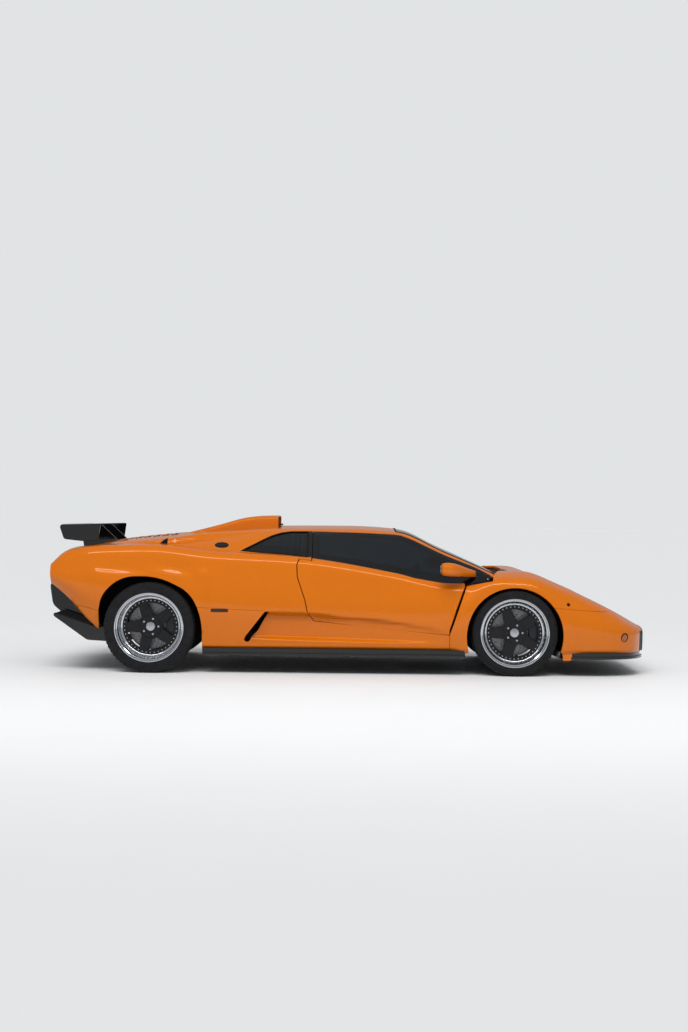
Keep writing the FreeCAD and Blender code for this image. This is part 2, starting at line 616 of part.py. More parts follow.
column_tilt = math.radians(22)
wheel_centre = vector(500, size.seat_centre_y, 610)
column_axis = vector(math.cos(column_tilt), 0, -math.sin(column_tilt))
steering_rim = faceted_rod(size.steering_wheel_radius + 13, 18, (0, 0, -12), (0, 0, 12))
steering_rim = steering_rim.cut(faceted_rod(size.steering_wheel_radius - 13, 18, (0, 0, -20), (0, 0, 20)))
steering_hub = faceted_rod(42, 8, (0, 0, -8), (0, 0, 22))
spoke_bar = Part.makeBox(2 * size.steering_wheel_radius, 26, 10, vector(-size.steering_wheel_radius, -13, -5))
steering_column = faceted_rod(22, 6, (0, 0, 10), (0, 0, 200))
steering = steering_rim.fuse([steering_hub, spoke_bar, steering_column])
steering.Placement = FreeCAD.Placement(wheel_centre, FreeCAD.Rotation(vector(0, 0, 1), column_axis))
keep("steering_wheel", steering.cut(side_prism(DASH_SIDE, -600, 600)))

# Engine on its frame rails

rail_z = size.engine_mount_z
rails = both_sides(block(bay_rear_x, bay_front_x, 240, 300, rail_z - 40, rail_z))
keep("engine_rails", rails)
REAR_AXLE = "Dimensions.front_axle_x - Dimensions.wheelbase"
ENGINE_REAR = f"({REAR_AXLE} - Dimensions.bay_rear_reach + Dimensions.engine_rear_room)"
ENGINE_FRONT = "(Dimensions.cabin_rear_x - Dimensions.bay_front_inset - Dimensions.engine_front_room)"
bound_box("engine_block", ENGINE_REAR, "-Dimensions.engine_width / 2", "Dimensions.engine_mount_z",
          f"{ENGINE_FRONT} - {ENGINE_REAR}", "Dimensions.engine_width", "Dimensions.engine_height")

# Wheels: drawn about a local Z axis, outboard up, then laid on their axles


ALIASES = {alias for alias, value in DIMENSIONS}


def words(text, end):
    """A formula with the end of the car filled in and each name looked up in the sheet."""
    def looked_up(word):
        return "Dimensions." + word.group() if word.group() in ALIASES else word.group()
    return re.sub("[a-z_]+", looked_up, text.replace("END", end))


def shaped(kind, label, end, **formulas):
    """A primitive whose properties are formulas in the sheet's names; low is its place on the axle."""
    item = doc.addObject("Part::" + kind, label)
    low = formulas.pop("low", None)
    turned = formulas.pop("turned", 0)
    if "Polygon" in formulas:
        turned = 180 / getattr(size, formulas["Polygon"])
    item.Placement = FreeCAD.Placement(vector(0, 0, 0), FreeCAD.Rotation(vector(0, 0, 1), turned))
    for name, text in formulas.items():
        item.setExpression(name, words(text, end))
    if low:
        item.setExpression(".Placement.Base.z", words(low, end))
    return item


def joined(kind, label, parts, end, side):
    """The boolean of some primitives, laid on its axle with the outboard side out."""
    item = doc.addObject("Part::" + kind, label)
    if kind == "Cut":
        item.Base, item.Tool = parts
    else:
        item.Shapes = parts
    if side:
        turn = FreeCAD.Rotation(vector(1, 0, 0), -90 * SIDES[side])
        item.Placement = FreeCAD.Placement(vector(0, 0, 0), turn)
        sign = "" if side == "left" else "-"
        item.setExpression(".Placement.Base.x", "Dimensions.front_axle_x" + (
            "" if end == "front" else " - Dimensions.wheelbase"))
        item.setExpression(".Placement.Base.y", f"{sign}Dimensions.{end}_track / 2")
        item.setExpression(".Placement.Base.z", f"Dimensions.{end}_tyre_radius")
        item.Label = label
        subparts.append(item)
    return item


# Formulas of places on the axle, outboard positive.
FACE = "END_rim_width / 2 - END_dish"
PAD = FACE + " - hub_pad_thickness"
ROUND = " / cos(180 deg / wheel_sides)"

# Columns: place on the axle, radius.
TREAD_RINGS = [
    ("-END_tyre_width / 2", "(END_tyre_radius - tyre_shoulder)" + ROUND),
    ("-END_tyre_width / 2 + tyre_shoulder", "END_tyre_radius" + ROUND),
    ("END_tyre_width / 2 - tyre_shoulder", "END_tyre_radius" + ROUND),
    ("END_tyre_width / 2", "(END_tyre_radius - tyre_shoulder)" + ROUND),
]


def add_tyre(end, side):
    name = f"{end}_{side}_tyre"
    rings = [shaped("RegularPolygon", f"{name}_ring_{i}", end, Polygon="wheel_sides",
                    Circumradius=radius, low=place) for i, (place, radius) in enumerate(TREAD_RINGS)]
    tread = doc.addObject("Part::Loft", name + "_tread")
    tread.Sections = rings
    tread.Solid = tread.Ruled = True
    bore = shaped("Prism", name + "_bore", end, Polygon="wheel_sides", low="-END_tyre_width / 2 - panel_gap",
                  Circumradius="(rim_radius + seat_gap)" + ROUND, Height="END_tyre_width + 2 * panel_gap")
    joined("Cut", name, [tread, bore], end, side)


def add_rim(end, side):
    name = f"{end}_{side}_rim"
    outer = shaped("Prism", name + "_outer", end, Polygon="wheel_sides", low="-END_rim_width / 2",
                   Circumradius="rim_radius" + ROUND, Height="END_rim_width")
    inner = shaped("Prism", name + "_inner", end, Polygon="wheel_sides", low="-END_rim_width / 2 - panel_gap",
                   Circumradius="(rim_radius - barrel_wall)" + ROUND, Height="END_rim_width + 2 * panel_gap")
    barrel = joined("Cut", name + "_barrel", [outer, inner], end, None)
    hub = shaped("Prism", name + "_hub", end, Polygon="hub_sides", low=PAD, Circumradius="hub_pad_radius",
                 Height="hub_pad_thickness + cap_height")
    spokes = [shaped("Wedge", f"{name}_spoke_{i}", end, turned=90 + 360 * i / size.spoke_count,
                     Xmin="-spoke_root_width / 2", Xmax="spoke_root_width / 2",
                     X2min="-spoke_tip_width / 2", X2max="spoke_tip_width / 2",
                     Ymin="hub_pad_radius / 2", Ymax="rim_radius - barrel_wall / 2",
                     Zmin=FACE + " - wheel_face_thickness", Zmax=FACE,
                     Z2min=FACE + " - wheel_face_thickness", Z2max=FACE)
              for i in range(int(size.spoke_count))]
    joined("MultiFuse", name, [barrel, hub] + spokes, end, side)


def add_disc(end, side):
    name = f"{end}_{side}_disc"
    rotor = shaped("Prism", name + "_rotor", end, Polygon="disc_sides", low=PAD + " - disc_thickness",
                   Circumradius="disc_radius", Height="disc_thickness")
    bore = shaped("Cylinder", name + "_bore", end, Radius="spindle_radius + bearing_clearance",
                  Height="disc_thickness + 2 * panel_gap", low=PAD + " - disc_thickness - panel_gap")
    joined("Cut", name, [rotor, bore], end, side)


for end in ("front", "rear"):
    for side in SIDES:
        add_tyre(end, side)
        add_rim(end, side)
        add_disc(end, side)

# Uprights with their spindles, calipers, arms and shafts, drawn for the left side


def upright_pieces(end):
    """Upright, caliper and arms of one left wheel, in the car's frame."""
    axle_x = size.front_axle_x if end == "front" else rear_axle_x
    half_track = (size.front_track if end == "front" else size.rear_track) / 2
    axle_z = front_axle_z if end == "front" else rear_axle_z
    wall_y = (size.front_well_inner_y if end == "front" else size.rear_well_inner_y) + size.seat_gap
    rim_width, dish = getattr(size, end + "_rim_width"), getattr(size, end + "_dish")
    pad = half_track + rim_width / 2 - dish - size.hub_pad_thickness
    plate_out = pad - size.disc_thickness - size.upright_offset
    plate_in = plate_out - size.upright_thickness
    half_z, half_x = size.upright_half_height, size.upright_width
    outline = [(8, half_z), (8, half_z - 16), (24, half_z - 16), (half_x, 50), (100, 36)]
    outline += [(x, -z) for x, z in reversed(outline)]
    outline += [(-8, -half_z), (-8, 16 - half_z), (-24, 16 - half_z), (-half_x, -50),
                (-half_x, 50), (-24, half_z - 16), (-8, half_z - 16), (-8, half_z)]
    outline = [(axle_x + x, axle_z + z) for x, z in outline]
    plate = side_prism(outline, plate_in, plate_out)
    spindle = rod(size.spindle_radius, (axle_x, plate_out - 5, axle_z), (axle_x, pad - 4, axle_z))
    upright = plate.fuse(spindle)
    disc_in = pad - size.disc_thickness
    disc_out = disc_in + size.disc_thickness
    half_height = size.caliper_height / 2
    caliper = block(axle_x + 100, axle_x + 190, disc_in - 28, disc_out + 28,
                    axle_z - half_height, axle_z + half_height)
    clear = size.caliper_clearance
    caliper = caliper.cut(rod(size.disc_radius + clear, (axle_x, disc_in - clear, axle_z),
                              (axle_x, disc_out + clear, axle_z)))
    ball_y = (plate_in + plate_out) / 2
    arms = []
    for up in (1, -1):
        ball_z = axle_z + up * (half_z + size.seat_gap)
        boss = block(axle_x - 16, axle_x + 16, ball_y - 14, ball_y + 14,
                     min(ball_z, ball_z + up * 30), max(ball_z, ball_z + up * 30))
        centre_z = ball_z + up * 20
        legs = [bar(14, (axle_x, ball_y, centre_z), (axle_x + reach, wall_y, axle_z + up * 120))
                for reach in (-110, 110)]
        keep_out = block(axle_x - 60, axle_x + 60, plate_in - 3, plate_out + 3,
                         axle_z - half_z - size.seat_gap, axle_z + half_z + size.seat_gap)
        arms.append(boss.fuse(legs).cut([block(-FAR, FAR, 0, wall_y, 0, FAR), keep_out]))
    return upright, caliper, arms, (axle_x, plate_in, wall_y, axle_z)


upright, caliper, arms, place = upright_pieces("front")
for side, sign in SIDES.items():
    keep(f"front_{side}_upright", upright if sign > 0 else mirrored(upright))
    keep(f"front_{side}_caliper", caliper if sign > 0 else mirrored(caliper))
keep("front_arms", Part.makeCompound([both_sides(arm) for arm in arms]))
upright, caliper, arms, place = upright_pieces("rear")
axle_x, plate_in, wall_y, axle_z = place
keep("rear_uprights", both_sides(upright))
keep("rear_calipers", both_sides(caliper))
shaft = bar(30, (axle_x, wall_y, axle_z), (axle_x, plate_in - size.seat_gap, axle_z))
keep("rear_arms", Part.makeCompound([both_sides(arm) for arm in arms] + [both_sides(shaft)]))

# Checks and files

doc.recompute()
for item in doc.Objects:
    if "Invalid" in item.State or "Error" in item.State:
        raise RuntimeError(f"{item.Label} failed: {item.State}")
for item in subparts:
    if item.Shape.isNull() or not item.Shape.isValid() or not item.Shape.Solids:
        raise RuntimeError(f"{item.Label} has no valid solid")
os.makedirs("parts", exist_ok=True)
for item in subparts:
    item.Shape.exportStep(f"parts/{item.Label}.step")
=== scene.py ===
import bpy
import bmesh
import math
import numpy as np
from mathutils import Matrix, Vector
from mathutils.geometry import delaunay_2d_cdt


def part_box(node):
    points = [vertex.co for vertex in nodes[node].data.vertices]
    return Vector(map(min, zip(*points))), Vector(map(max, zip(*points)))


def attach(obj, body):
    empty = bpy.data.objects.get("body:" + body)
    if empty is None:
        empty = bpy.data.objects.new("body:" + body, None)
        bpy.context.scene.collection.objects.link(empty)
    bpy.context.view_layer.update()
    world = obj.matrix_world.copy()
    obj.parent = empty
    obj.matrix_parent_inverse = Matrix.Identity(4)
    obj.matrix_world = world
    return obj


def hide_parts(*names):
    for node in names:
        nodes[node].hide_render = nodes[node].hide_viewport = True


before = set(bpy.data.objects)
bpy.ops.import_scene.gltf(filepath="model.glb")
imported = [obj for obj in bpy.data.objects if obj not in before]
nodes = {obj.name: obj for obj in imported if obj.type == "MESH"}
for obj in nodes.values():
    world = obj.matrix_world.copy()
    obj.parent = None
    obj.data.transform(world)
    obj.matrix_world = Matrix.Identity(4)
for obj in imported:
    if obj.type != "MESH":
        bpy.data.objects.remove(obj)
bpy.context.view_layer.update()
MM = 0.001
SIDES = {"left": 1, "right": -1}

# Finishes


def linear(code):
    """A hex colour as linear values."""
    values = [int(code[i:i + 2], 16) / 255 for i in (0, 2, 4)]
    return (*[v / 12.92 if v <= 0.04045 else ((v + 0.055) / 1.055) ** 2.4 for v in values], 1.0)


def substance(name, colour, roughness, metallic=0.0, **shader_values):
    """A material with its constant values on the shader itself."""
    material = bpy.data.materials.new(name)
    material.use_nodes = True
    shader = material.node_tree.nodes["Principled BSDF"]
    shader.inputs["Base Color"].default_value = linear(colour)
    shader.inputs["Roughness"].default_value = roughness
    shader.inputs["Metallic"].default_value = metallic
    for socket, value in shader_values.items():
        shader.inputs[socket.replace("_", " ")].default_value = value
    return material


def add(owner, kind, inputs=(), to=None, give=0):
    """A node of a material or world, with its settings and links.
    give is its output, and to the shader's socket that it feeds."""
    tree = owner.node_tree
    made = tree.nodes.new("ShaderNode" + kind)
    for socket, value in dict(inputs).items():
        if isinstance(value, bpy.types.NodeSocket):
            tree.links.new(value, made.inputs[socket])
        else:
            made.inputs[socket].default_value = value
    if to:
        tree.links.new(made.outputs[give], tree.nodes["Principled BSDF"].inputs[to])
    return made.outputs[give]


def uneven(material, size, low, high, detail=4.0):
    """Roughness that drifts between low and high in blotches of size millimetres."""
    place = add(material, "TexCoord", give="Object")
    blotches = add(material, "TexNoise", {"Vector": place, "Scale": 1000 / size, "Detail": detail})
    limits = {"From Min": 0.3, "From Max": 0.7, "To Min": low, "To Max": high}
    add(material, "MapRange", {"Value": blotches, **limits}, to="Roughness")
    return material


def relief(material, size, depth, pattern="TexNoise"):
    """A grain of that size and depth, both in millimetres."""
    place = add(material, "TexCoord", give="Object")
    grain = add(material, pattern, {"Vector": place, "Scale": 1000 / size})
    add(material, "Bump", {"Height": grain, "Distance": depth * MM, "Strength": 0.6}, to="Normal")
    return material


# Sprayed orange pearl under polished clear coat: warm and deep, with sharp white reflections.
# The flake is drawn 1.2 mm coarse, because a real one is too fine to show.
ORANGE = substance("orange_pearl_clearcoat", "C66600", 0.38, 0.1, Coat_Weight=0.65, Coat_Roughness=0.03,
                   Specular_IOR_Level=0.05)
FLAKE_MM = 1.2
at_object = add(ORANGE, "TexCoord", give="Object")
flake = add(ORANGE, "TexNoise", {"Vector": at_object, "Scale": 1000 / FLAKE_MM, "Detail": 2.0})
contrast = add(ORANGE, "MapRange", {"Value": flake, "From Min": 0.35, "From Max": 0.65})
add(ORANGE, "MixRGB", {"Fac": contrast, "Color1": linear("BC5C00"), "Color2": linear("D47200")},
    to="Base Color")
uneven(ORANGE, 160, 0.30, 0.38, 5)

# Sprayed black lacquer, polished: nearly a mirror, with faint swirl.
BLACK = substance("gloss_black_lacquer", "08080A", 0.12, Coat_Weight=0.8, Coat_Roughness=0.04,
                  Specular_IOR_Level=0.1)
uneven(BLACK, 90, 0.10, 0.20)
# Cast aluminium in satin black spray: soft highlights and a fine orange-peel.
WHEEL = substance("satin_black_cast_aluminium", "0D0D10", 0.38, Specular_IOR_Level=0.35)
relief(uneven(WHEEL, 40, 0.32, 0.44), 3, 0.05)
# Electrocoated sheet steel in the wells and bays: dull black with dusty patches.
INNER = uneven(substance("black_electrocoated_steel", "09090A", 0.65, Specular_IOR_Level=0.2), 120, 0.55, 0.8)
# Extruded rubber seals: dull black, very fine grain.
SEAL = substance("black_rubber_seal", "090909", 0.6, Specular_IOR_Level=0.25)
relief(uneven(SEAL, 15, 0.5, 0.7), 1.5, 0.05)
# Moulded tyre rubber: dark grey-black, dry, with mould grain.
TYRE = substance("moulded_tyre_rubber", "121214", 0.75, Specular_IOR_Level=0.3)
relief(uneven(TYRE, 30, 0.62, 0.85), 2.5, 0.15)
# Spun and polished aluminium lips: bright, with slow changes of gloss from wear.
LIP = uneven(substance("polished_aluminium", "CDD0D5", 0.12, 1.0), 120, 0.09, 0.15)
# Zinc-plated bolts: pale grey, with small uneven glints.
BOLT = uneven(substance("zinc_plated_steel", "B9BCC0", 0.28, 1.0), 8, 0.2, 0.4)
# Ground cast iron discs: grey with fine turning marks about 2 mm apart.
DISC = relief(uneven(substance("ground_cast_iron", "7E7F82", 0.36, 1.0), 18, 0.3, 0.5), 2, 0.03)
# Anodised calipers: dark grey, satin, slightly metallic.
CALIPER = uneven(substance("dark_anodised_aluminium", "3A3B3F", 0.42, 0.8), 20, 0.36, 0.5)
# Laminated and tinted glass: dark to look through, with sharp reflections.
GLASS = substance("dark_tinted_glass", "4A565F", 0.0, Transmission_Weight=1.0, IOR=1.5)
uneven(GLASS, 200, 0.0, 0.02)
# Clear polycarbonate over the lamps: seen only by its reflections.
LENS = substance("clear_polycarbonate", "F4F6F8", 0.02, Transmission_Weight=1.0, IOR=1.58)
uneven(LENS, 60, 0.0, 0.03)
# Moulded acrylic tail lamps, deep red and amber, with prisms about 7 mm across.
RED = substance("red_moulded_acrylic", "8E0A08", 0.08, Transmission_Weight=0.35, IOR=1.49, Coat_Weight=0.6)
AMBER = substance("amber_moulded_acrylic", "B84A00", 0.08, Transmission_Weight=0.3, IOR=1.49, Coat_Weight=0.6)
for acrylic in (RED, AMBER):
    relief(acrylic, 7, 0.4, "TexVoronoi")
# Moulded plastic of grilles, slats and trims: dull black, with a leather grain about 3 mm across.
PLASTIC = substance("black_moulded_plastic", "0E0E10", 0.5, Specular_IOR_Level=0.3)
relief(uneven(PLASTIC, 25, 0.42, 0.58), 3, 0.12, "TexVoronoi")
# Tanned leather on seats and dashboard: near-black, with creases about 4 mm apart.
LEATHER = substance("black_tanned_leather", "171513", 0.5)
relief(uneven(LEATHER, 35, 0.4, 0.6), 4, 0.35, "TexVoronoi")
# Short-pile carpet: charcoal, without shine, in tufts of about 2 mm.
CARPET = substance("charcoal_carpet", "1A1A1B", 0.95, Sheen_Weight=0.3)
relief(uneven(CARPET, 20, 0.85, 1.0), 2.2, 0.9)
# Brushed stainless exhausts: warm grey, patchy from heat.
STEEL = uneven(substance("brushed_stainless_steel", "B4AFA8", 0.26, 1.0), 12, 0.2, 0.36)
# Sand-cast engine metal: light grey and rough.
CAST = relief(uneven(substance("sand_cast_aluminium", "8A8C8E", 0.5, 0.9), 20, 0.42, 0.62), 2.5, 0.25)
# Forged steel links in satin paint: near-black with soft highlights.
STEEL_DARK = uneven(substance("painted_forged_steel", "26272A", 0.45, 0.4), 25, 0.38, 0.55)

# Smooth skins


SMOOTHING_PASSES = 14


def smooth_columns(rows, xs):
    """Each column of a table, read at every x on a smooth curve through its rows."""
    rows = np.array(sorted(rows), float)
    x, count = rows[:, 0], len(rows)
    h = np.diff(x)
    columns = []
    for k in range(1, rows.shape[1]):
        y = rows[:, k]
        slope = np.diff(y) / h
        d = np.zeros(count)
        d[0], d[-1] = slope[0], slope[-1]
        for i in range(1, count - 1):
            if slope[i - 1] * slope[i] > 0:
                a, b = 2 * h[i] + h[i - 1], h[i] + 2 * h[i - 1]
                d[i] = (a + b) / (a / slope[i - 1] + b / slope[i])
        i = np.clip(np.searchsorted(x, xs) - 1, 0, count - 2)
        t = (xs - x[i]) / h[i]
        columns.append((1 + 2 * t) * (1 - t) ** 2 * y[i] + t * (1 - t) ** 2 * h[i] * d[i]
                       + t * t * (3 - 2 * t) * y[i + 1] + t * t * (t - 1) * h[i] * d[i + 1])
    soft = np.array(columns)
    for _ in range(SMOOTHING_PASSES):
        soft[:, 1:-1] = 0.25 * soft[:, :-2] + 0.5 * soft[:, 1:-1] + 0.25 * soft[:, 2:]
    return soft.T


def bend(before, corner, after, trim, count, part=1.0):
    """A corner as a soft curve of count steps, that leaves its two edges by trim from it."""
    before, corner, after = (np.array(point, float) for point in (before, corner, after))
    lengths = np.hypot(*(before - corner)), np.hypot(*(after - corner))
    trim = min(trim, 0.48 * lengths[0], 0.48 * lengths[1])
    start = corner + (before - corner) / lengths[0] * trim
    end = corner + (after - corner) / lengths[1] * trim
    t = np.linspace(0, part, count + 1)[:, None]
    return (1 - t) ** 2 * start + 2 * t * (1 - t) * corner + t * t * end


def rounded_section(points, trims, counts):
    """A half section with its corners rounded; counts are the steps of each flat and each bend."""
    path = [np.array([points[0]], float)]
    beyond_centre = [(-points[-2][0], points[-2][1])]
    followers = points[2:] + beyond_centre
    for i, following in enumerate(followers, 1):
        flat, steps = counts[i]
        curve = bend(points[i - 1], points[i], following, trims[i], steps, 1 if i + 1 < len(points) else 0.5)
        last = path[-1][-1]
        t = np.linspace(0, 1, flat + 1)[1:, None]
        path += [last + (curve[0] - last) * t, curve[1:]]
    return np.vstack(path)


def soft_step(t):
    """From 0 to 1 with soft ends."""
    t = np.clip(t, 0, 1)
    return t * t * (3 - 2 * t)


class Skin:
    """A smooth skin: place by x and by s, the girth from the lowest edge to the centre plane."""

    turn = -1
    spacing = 10

    def __init__(self, rows, section, offset=None):
        low, high = min(r[0] for r in rows), max(r[0] for r in rows)
        self.xs = np.linspace(low, high, int((high - low) / self.spacing) + 1)
        self.yz = np.array([section(row) for row in smooth_columns(rows, self.xs)])
        lengths = np.hypot(*np.moveaxis(np.diff(self.yz, axis=1), 2, 0)).mean(axis=0)
        self.s = np.concatenate([[0], np.cumsum(lengths)])
        self.offset = offset

    def row(self, x):
        """The half section at x."""
        x = min(max(x, self.xs[0]), self.xs[-1])
        i = int(np.clip(np.searchsorted(self.xs, x) - 1, 0, len(self.xs) - 2))
        t = (x - self.xs[i]) / (self.xs[i + 1] - self.xs[i])
        return self.yz[i] * (1 - t) + self.yz[i + 1] * t

    def base(self, x, s):
        """Place on the skin before its bulges and recesses."""
        i = np.clip(np.searchsorted(self.xs, x) - 1, 0, len(self.xs) - 2)
        j = np.clip(np.searchsorted(self.s, s) - 1, 0, len(self.s) - 2)
        u = ((x - self.xs[i]) / (self.xs[i + 1] - self.xs[i]))[:, None]
        v = np.clip((s - self.s[j]) / (self.s[j + 1] - self.s[j]), 0, 1)[:, None]
        g = self.yz
        low, high = g[i, j] * (1 - u) + g[i + 1, j] * u, g[i, j + 1] * (1 - u) + g[i + 1, j + 1] * u
        yz = low * (1 - v) + high * v
        return np.column_stack([x, yz])

    def facing(self, x, s, place):
        """Direction outwards, from places 3 mm to each side."""
        h = 3.0
        du = place(np.minimum(x + h, self.xs[-1]), s) - place(np.maximum(x - h, self.xs[0]), s)
        dv = place(x, np.minimum(s + h, self.s[-1])) - place(x, np.maximum(s - h, 0))
        n = np.cross(dv, du)
        return n / np.maximum(np.linalg.norm(n, axis=1), 1e-9)[:, None]

    def at(self, x, s):
        """Place on the skin, with its bulges and recesses."""
        p = self.base(x, s)
        if self.offset is None:
            return p
        return p + self.facing(x, s, self.base) * self.offset(p)[:, None]

    def both(self, x, s):
        """Places, and the directions they face."""
        x, s = np.asarray(x, float), np.asarray(s, float)
        return self.at(x, s), self.facing(x, s, self.at)

    def s_at_z(self, x, z):
        """Girth where the side reaches height z."""
        yz = self.row(x)
        top = int(np.argmax(yz[:, 1]))
        rising = np.maximum.accumulate(yz[:top + 1, 1])
        return float(np.interp(z, rising, self.s[:top + 1]))

    def s_at_y(self, x, y):
        """Girth where the top comes in to y."""
        yz = self.row(x)
        wide = int(np.argmax(yz[:, 0]))
        return float(np.interp(-y, -yz[wide:, 0], self.s[wide:]))

    def side(self, points):
        """A line of (x, z), seen from the side, as (x, s)."""
        return [(x, self.s_at_z(x, z)) for x, z in dense(points)]

    def plan(self, points):
        """A line of (x, y), seen from above, as (x, s)."""
        return [(x, self.s_at_y(x, y)) for x, y in dense(points)]


def spot(skin, x, s):
    """One place on a skin, and the direction it faces."""
    place, normal = skin.both([x], [s])
    return place[0], normal[0]


def on_skin(skin, line, lift=1.0):
    """A line of (x, s) as places, raised by lift."""
    place, normal = skin.both([p[0] for p in line], [p[1] for p in line])
    return place + normal * lift


class Flat:
    """A plane with places a and b along u and v, for panels cut from flat sheet."""

    turn = 1

    def __init__(self, origin, u, v):
        self.origin, self.u, self.v = (np.array(item, float) for item in (origin, u, v))
        self.s = [0.0, 1e9]

    def both(self, a, b):
        place = self.origin + np.outer(a, self.u) + np.outer(b, self.v)
        return place, np.tile(np.cross(self.u, self.v), (len(place), 1))


def dense(points, step=14.0):
    """An open line of pairs with more points along it."""
    out = []
    for (ax, ay), (bx, by) in zip(points, points[1:]):
        count = max(1, int(math.hypot(bx - ax, by - ay) / step))
        out += [(ax + (bx - ax) * i / count, ay + (by - ay) * i / count) for i in range(count)]
    return out + [points[-1]]


def fillet(points, trim, closed=False, count=8):
    """A line of pairs with each inner corner rounded."""
    out = [] if closed else [points[0]]
    total = len(points)
    for i in range(0 if closed else 1, total if closed else total - 1):
        out += [tuple(p) for p in bend(points[i - 1], points[i], points[(i + 1) % total], trim, count)]
    return out if closed else out + [points[-1]]


def arc(x, z, radius, start, end, step=3.0):
    """Points on a circle, by degrees."""
    count = max(2, int(abs(end - start) / step))
    angles = [math.radians(start + (end - start) * i / count) for i in range(count + 1)]
    return [(x + radius * math.cos(angle), z + radius * math.sin(angle)) for angle in angles]


def inside(polygon, points):
    """Which points lie in a polygon."""
    x, y = points[:, 0], points[:, 1]
    result = np.zeros(len(points), bool)
    for (ax, ay), (bx, by) in zip(polygon, np.roll(polygon, -1, axis=0)):
        if ay != by:
            result ^= ((ay > y) != (by > y)) & (x < (bx - ax) * (y - ay) / (by - ay) + ax)
    return result


def clean_ring(ring):
    """A ring without doubled points, counter-clockwise."""
    out = []
    for p in ring:
        if not out or math.hypot(p[0] - out[-1][0], p[1] - out[-1][1]) > 0.6:
            out.append(p)
    while math.hypot(out[0][0] - out[-1][0], out[0][1] - out[-1][1]) < 0.6:
        out.pop()
    out = np.array(out)
    area = np.sum(out[:, 0] * np.roll(out[:, 1], -1) - np.roll(out[:, 0], -1) * out[:, 1])
    return out if area > 0 else out[::-1]


def piece(name, parts, material, carrier="root", side=1, sharp=35, normals=None, levels=0, replaced=()):
    """One piece from (verts, faces) parts in millimetres; side -1 mirrors it to the car's right."""
    verts, faces = [], []
    for part_verts, part_faces in parts:
        start = sum(len(v) for v in verts)
        verts.append(np.asarray(part_verts, float))
        faces += [tuple(int(i) + start for i in f) for f in part_faces]
    verts = np.vstack(verts)
    if side == -1:
        verts = verts * [1, -1, 1]
        faces = [tuple(reversed(f)) for f in faces]
        if normals is not None:
            normals = normals * [1, -1, 1]
    mesh = bpy.data.meshes.new(name)
    mesh.from_pydata((verts * MM).tolist(), [], faces)
    if normals is None:
        work = bmesh.new()
        work.from_mesh(mesh)
        bmesh.ops.remove_doubles(work, verts=work.verts, dist=1e-6)
        bmesh.ops.recalc_face_normals(work, faces=work.faces)
        if work.calc_volume(signed=True) < 0:
            bmesh.ops.reverse_faces(work, faces=work.faces)
        work.to_mesh(mesh)
        work.free()
    mesh.validate()
    mesh.polygons.foreach_set("use_smooth", [True] * len(mesh.polygons))
    if normals is not None:
        mesh.normals_split_custom_set_from_vertices(normals.tolist())
    elif not levels:
        mesh.set_sharp_from_angle(angle=math.radians(sharp))
    made = bpy.data.objects.new(name, mesh)
    bpy.context.scene.collection.objects.link(made)
    mesh.materials.append(material)
    if levels:
        subdivision = made.modifiers.new("soft", "SUBSURF")
        subdivision.levels = subdivision.render_levels = levels
    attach(made, carrier)
    if replaced:
        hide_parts(*replaced)
    return made


EDGE_STEP, CLEAR_OF_RIM = 20, 0.42


def in_region(rings, points):
    """Which points lie in the first ring and in none of the others."""
    keep = inside(rings[0], points)
    for hole in rings[1:]:
        keep &= ~inside(hole, points)
    return keep


def filled(rings, step):
    """Points and triangles that fill the first ring outside the others, about a step apart."""
    rim = np.vstack(rings)
    low, high = rim.min(axis=0), rim.max(axis=0)
    gx, gs = np.meshgrid(*[np.arange(low[k] + step / 2, high[k], step) for k in (0, 1)])
    grid = np.column_stack([gx.ravel(), gs.ravel()])
    grid = grid[in_region(rings, grid)]
    if len(grid):
        from_rim = np.array([np.min(np.hypot(*(rim - g).T)) for g in grid])
        grid = grid[from_rim > CLEAR_OF_RIM * step]
    edges = []
    for loop in rings:
        start = len(edges)
        edges += [(start + i, start + (i + 1) % len(loop)) for i in range(len(loop))]
    flat = [Vector(p) for p in np.vstack([rim, grid])]
    points, _, faces = delaunay_2d_cdt(flat, edges, [], 0, 1e-4)[:3]
    points = np.array([tuple(p) for p in points])
    centres = np.array([points[list(f)].mean(axis=0) for f in faces])
    return points, [tuple(f) for f, ok in zip(faces, in_region(rings, centres)) if ok]


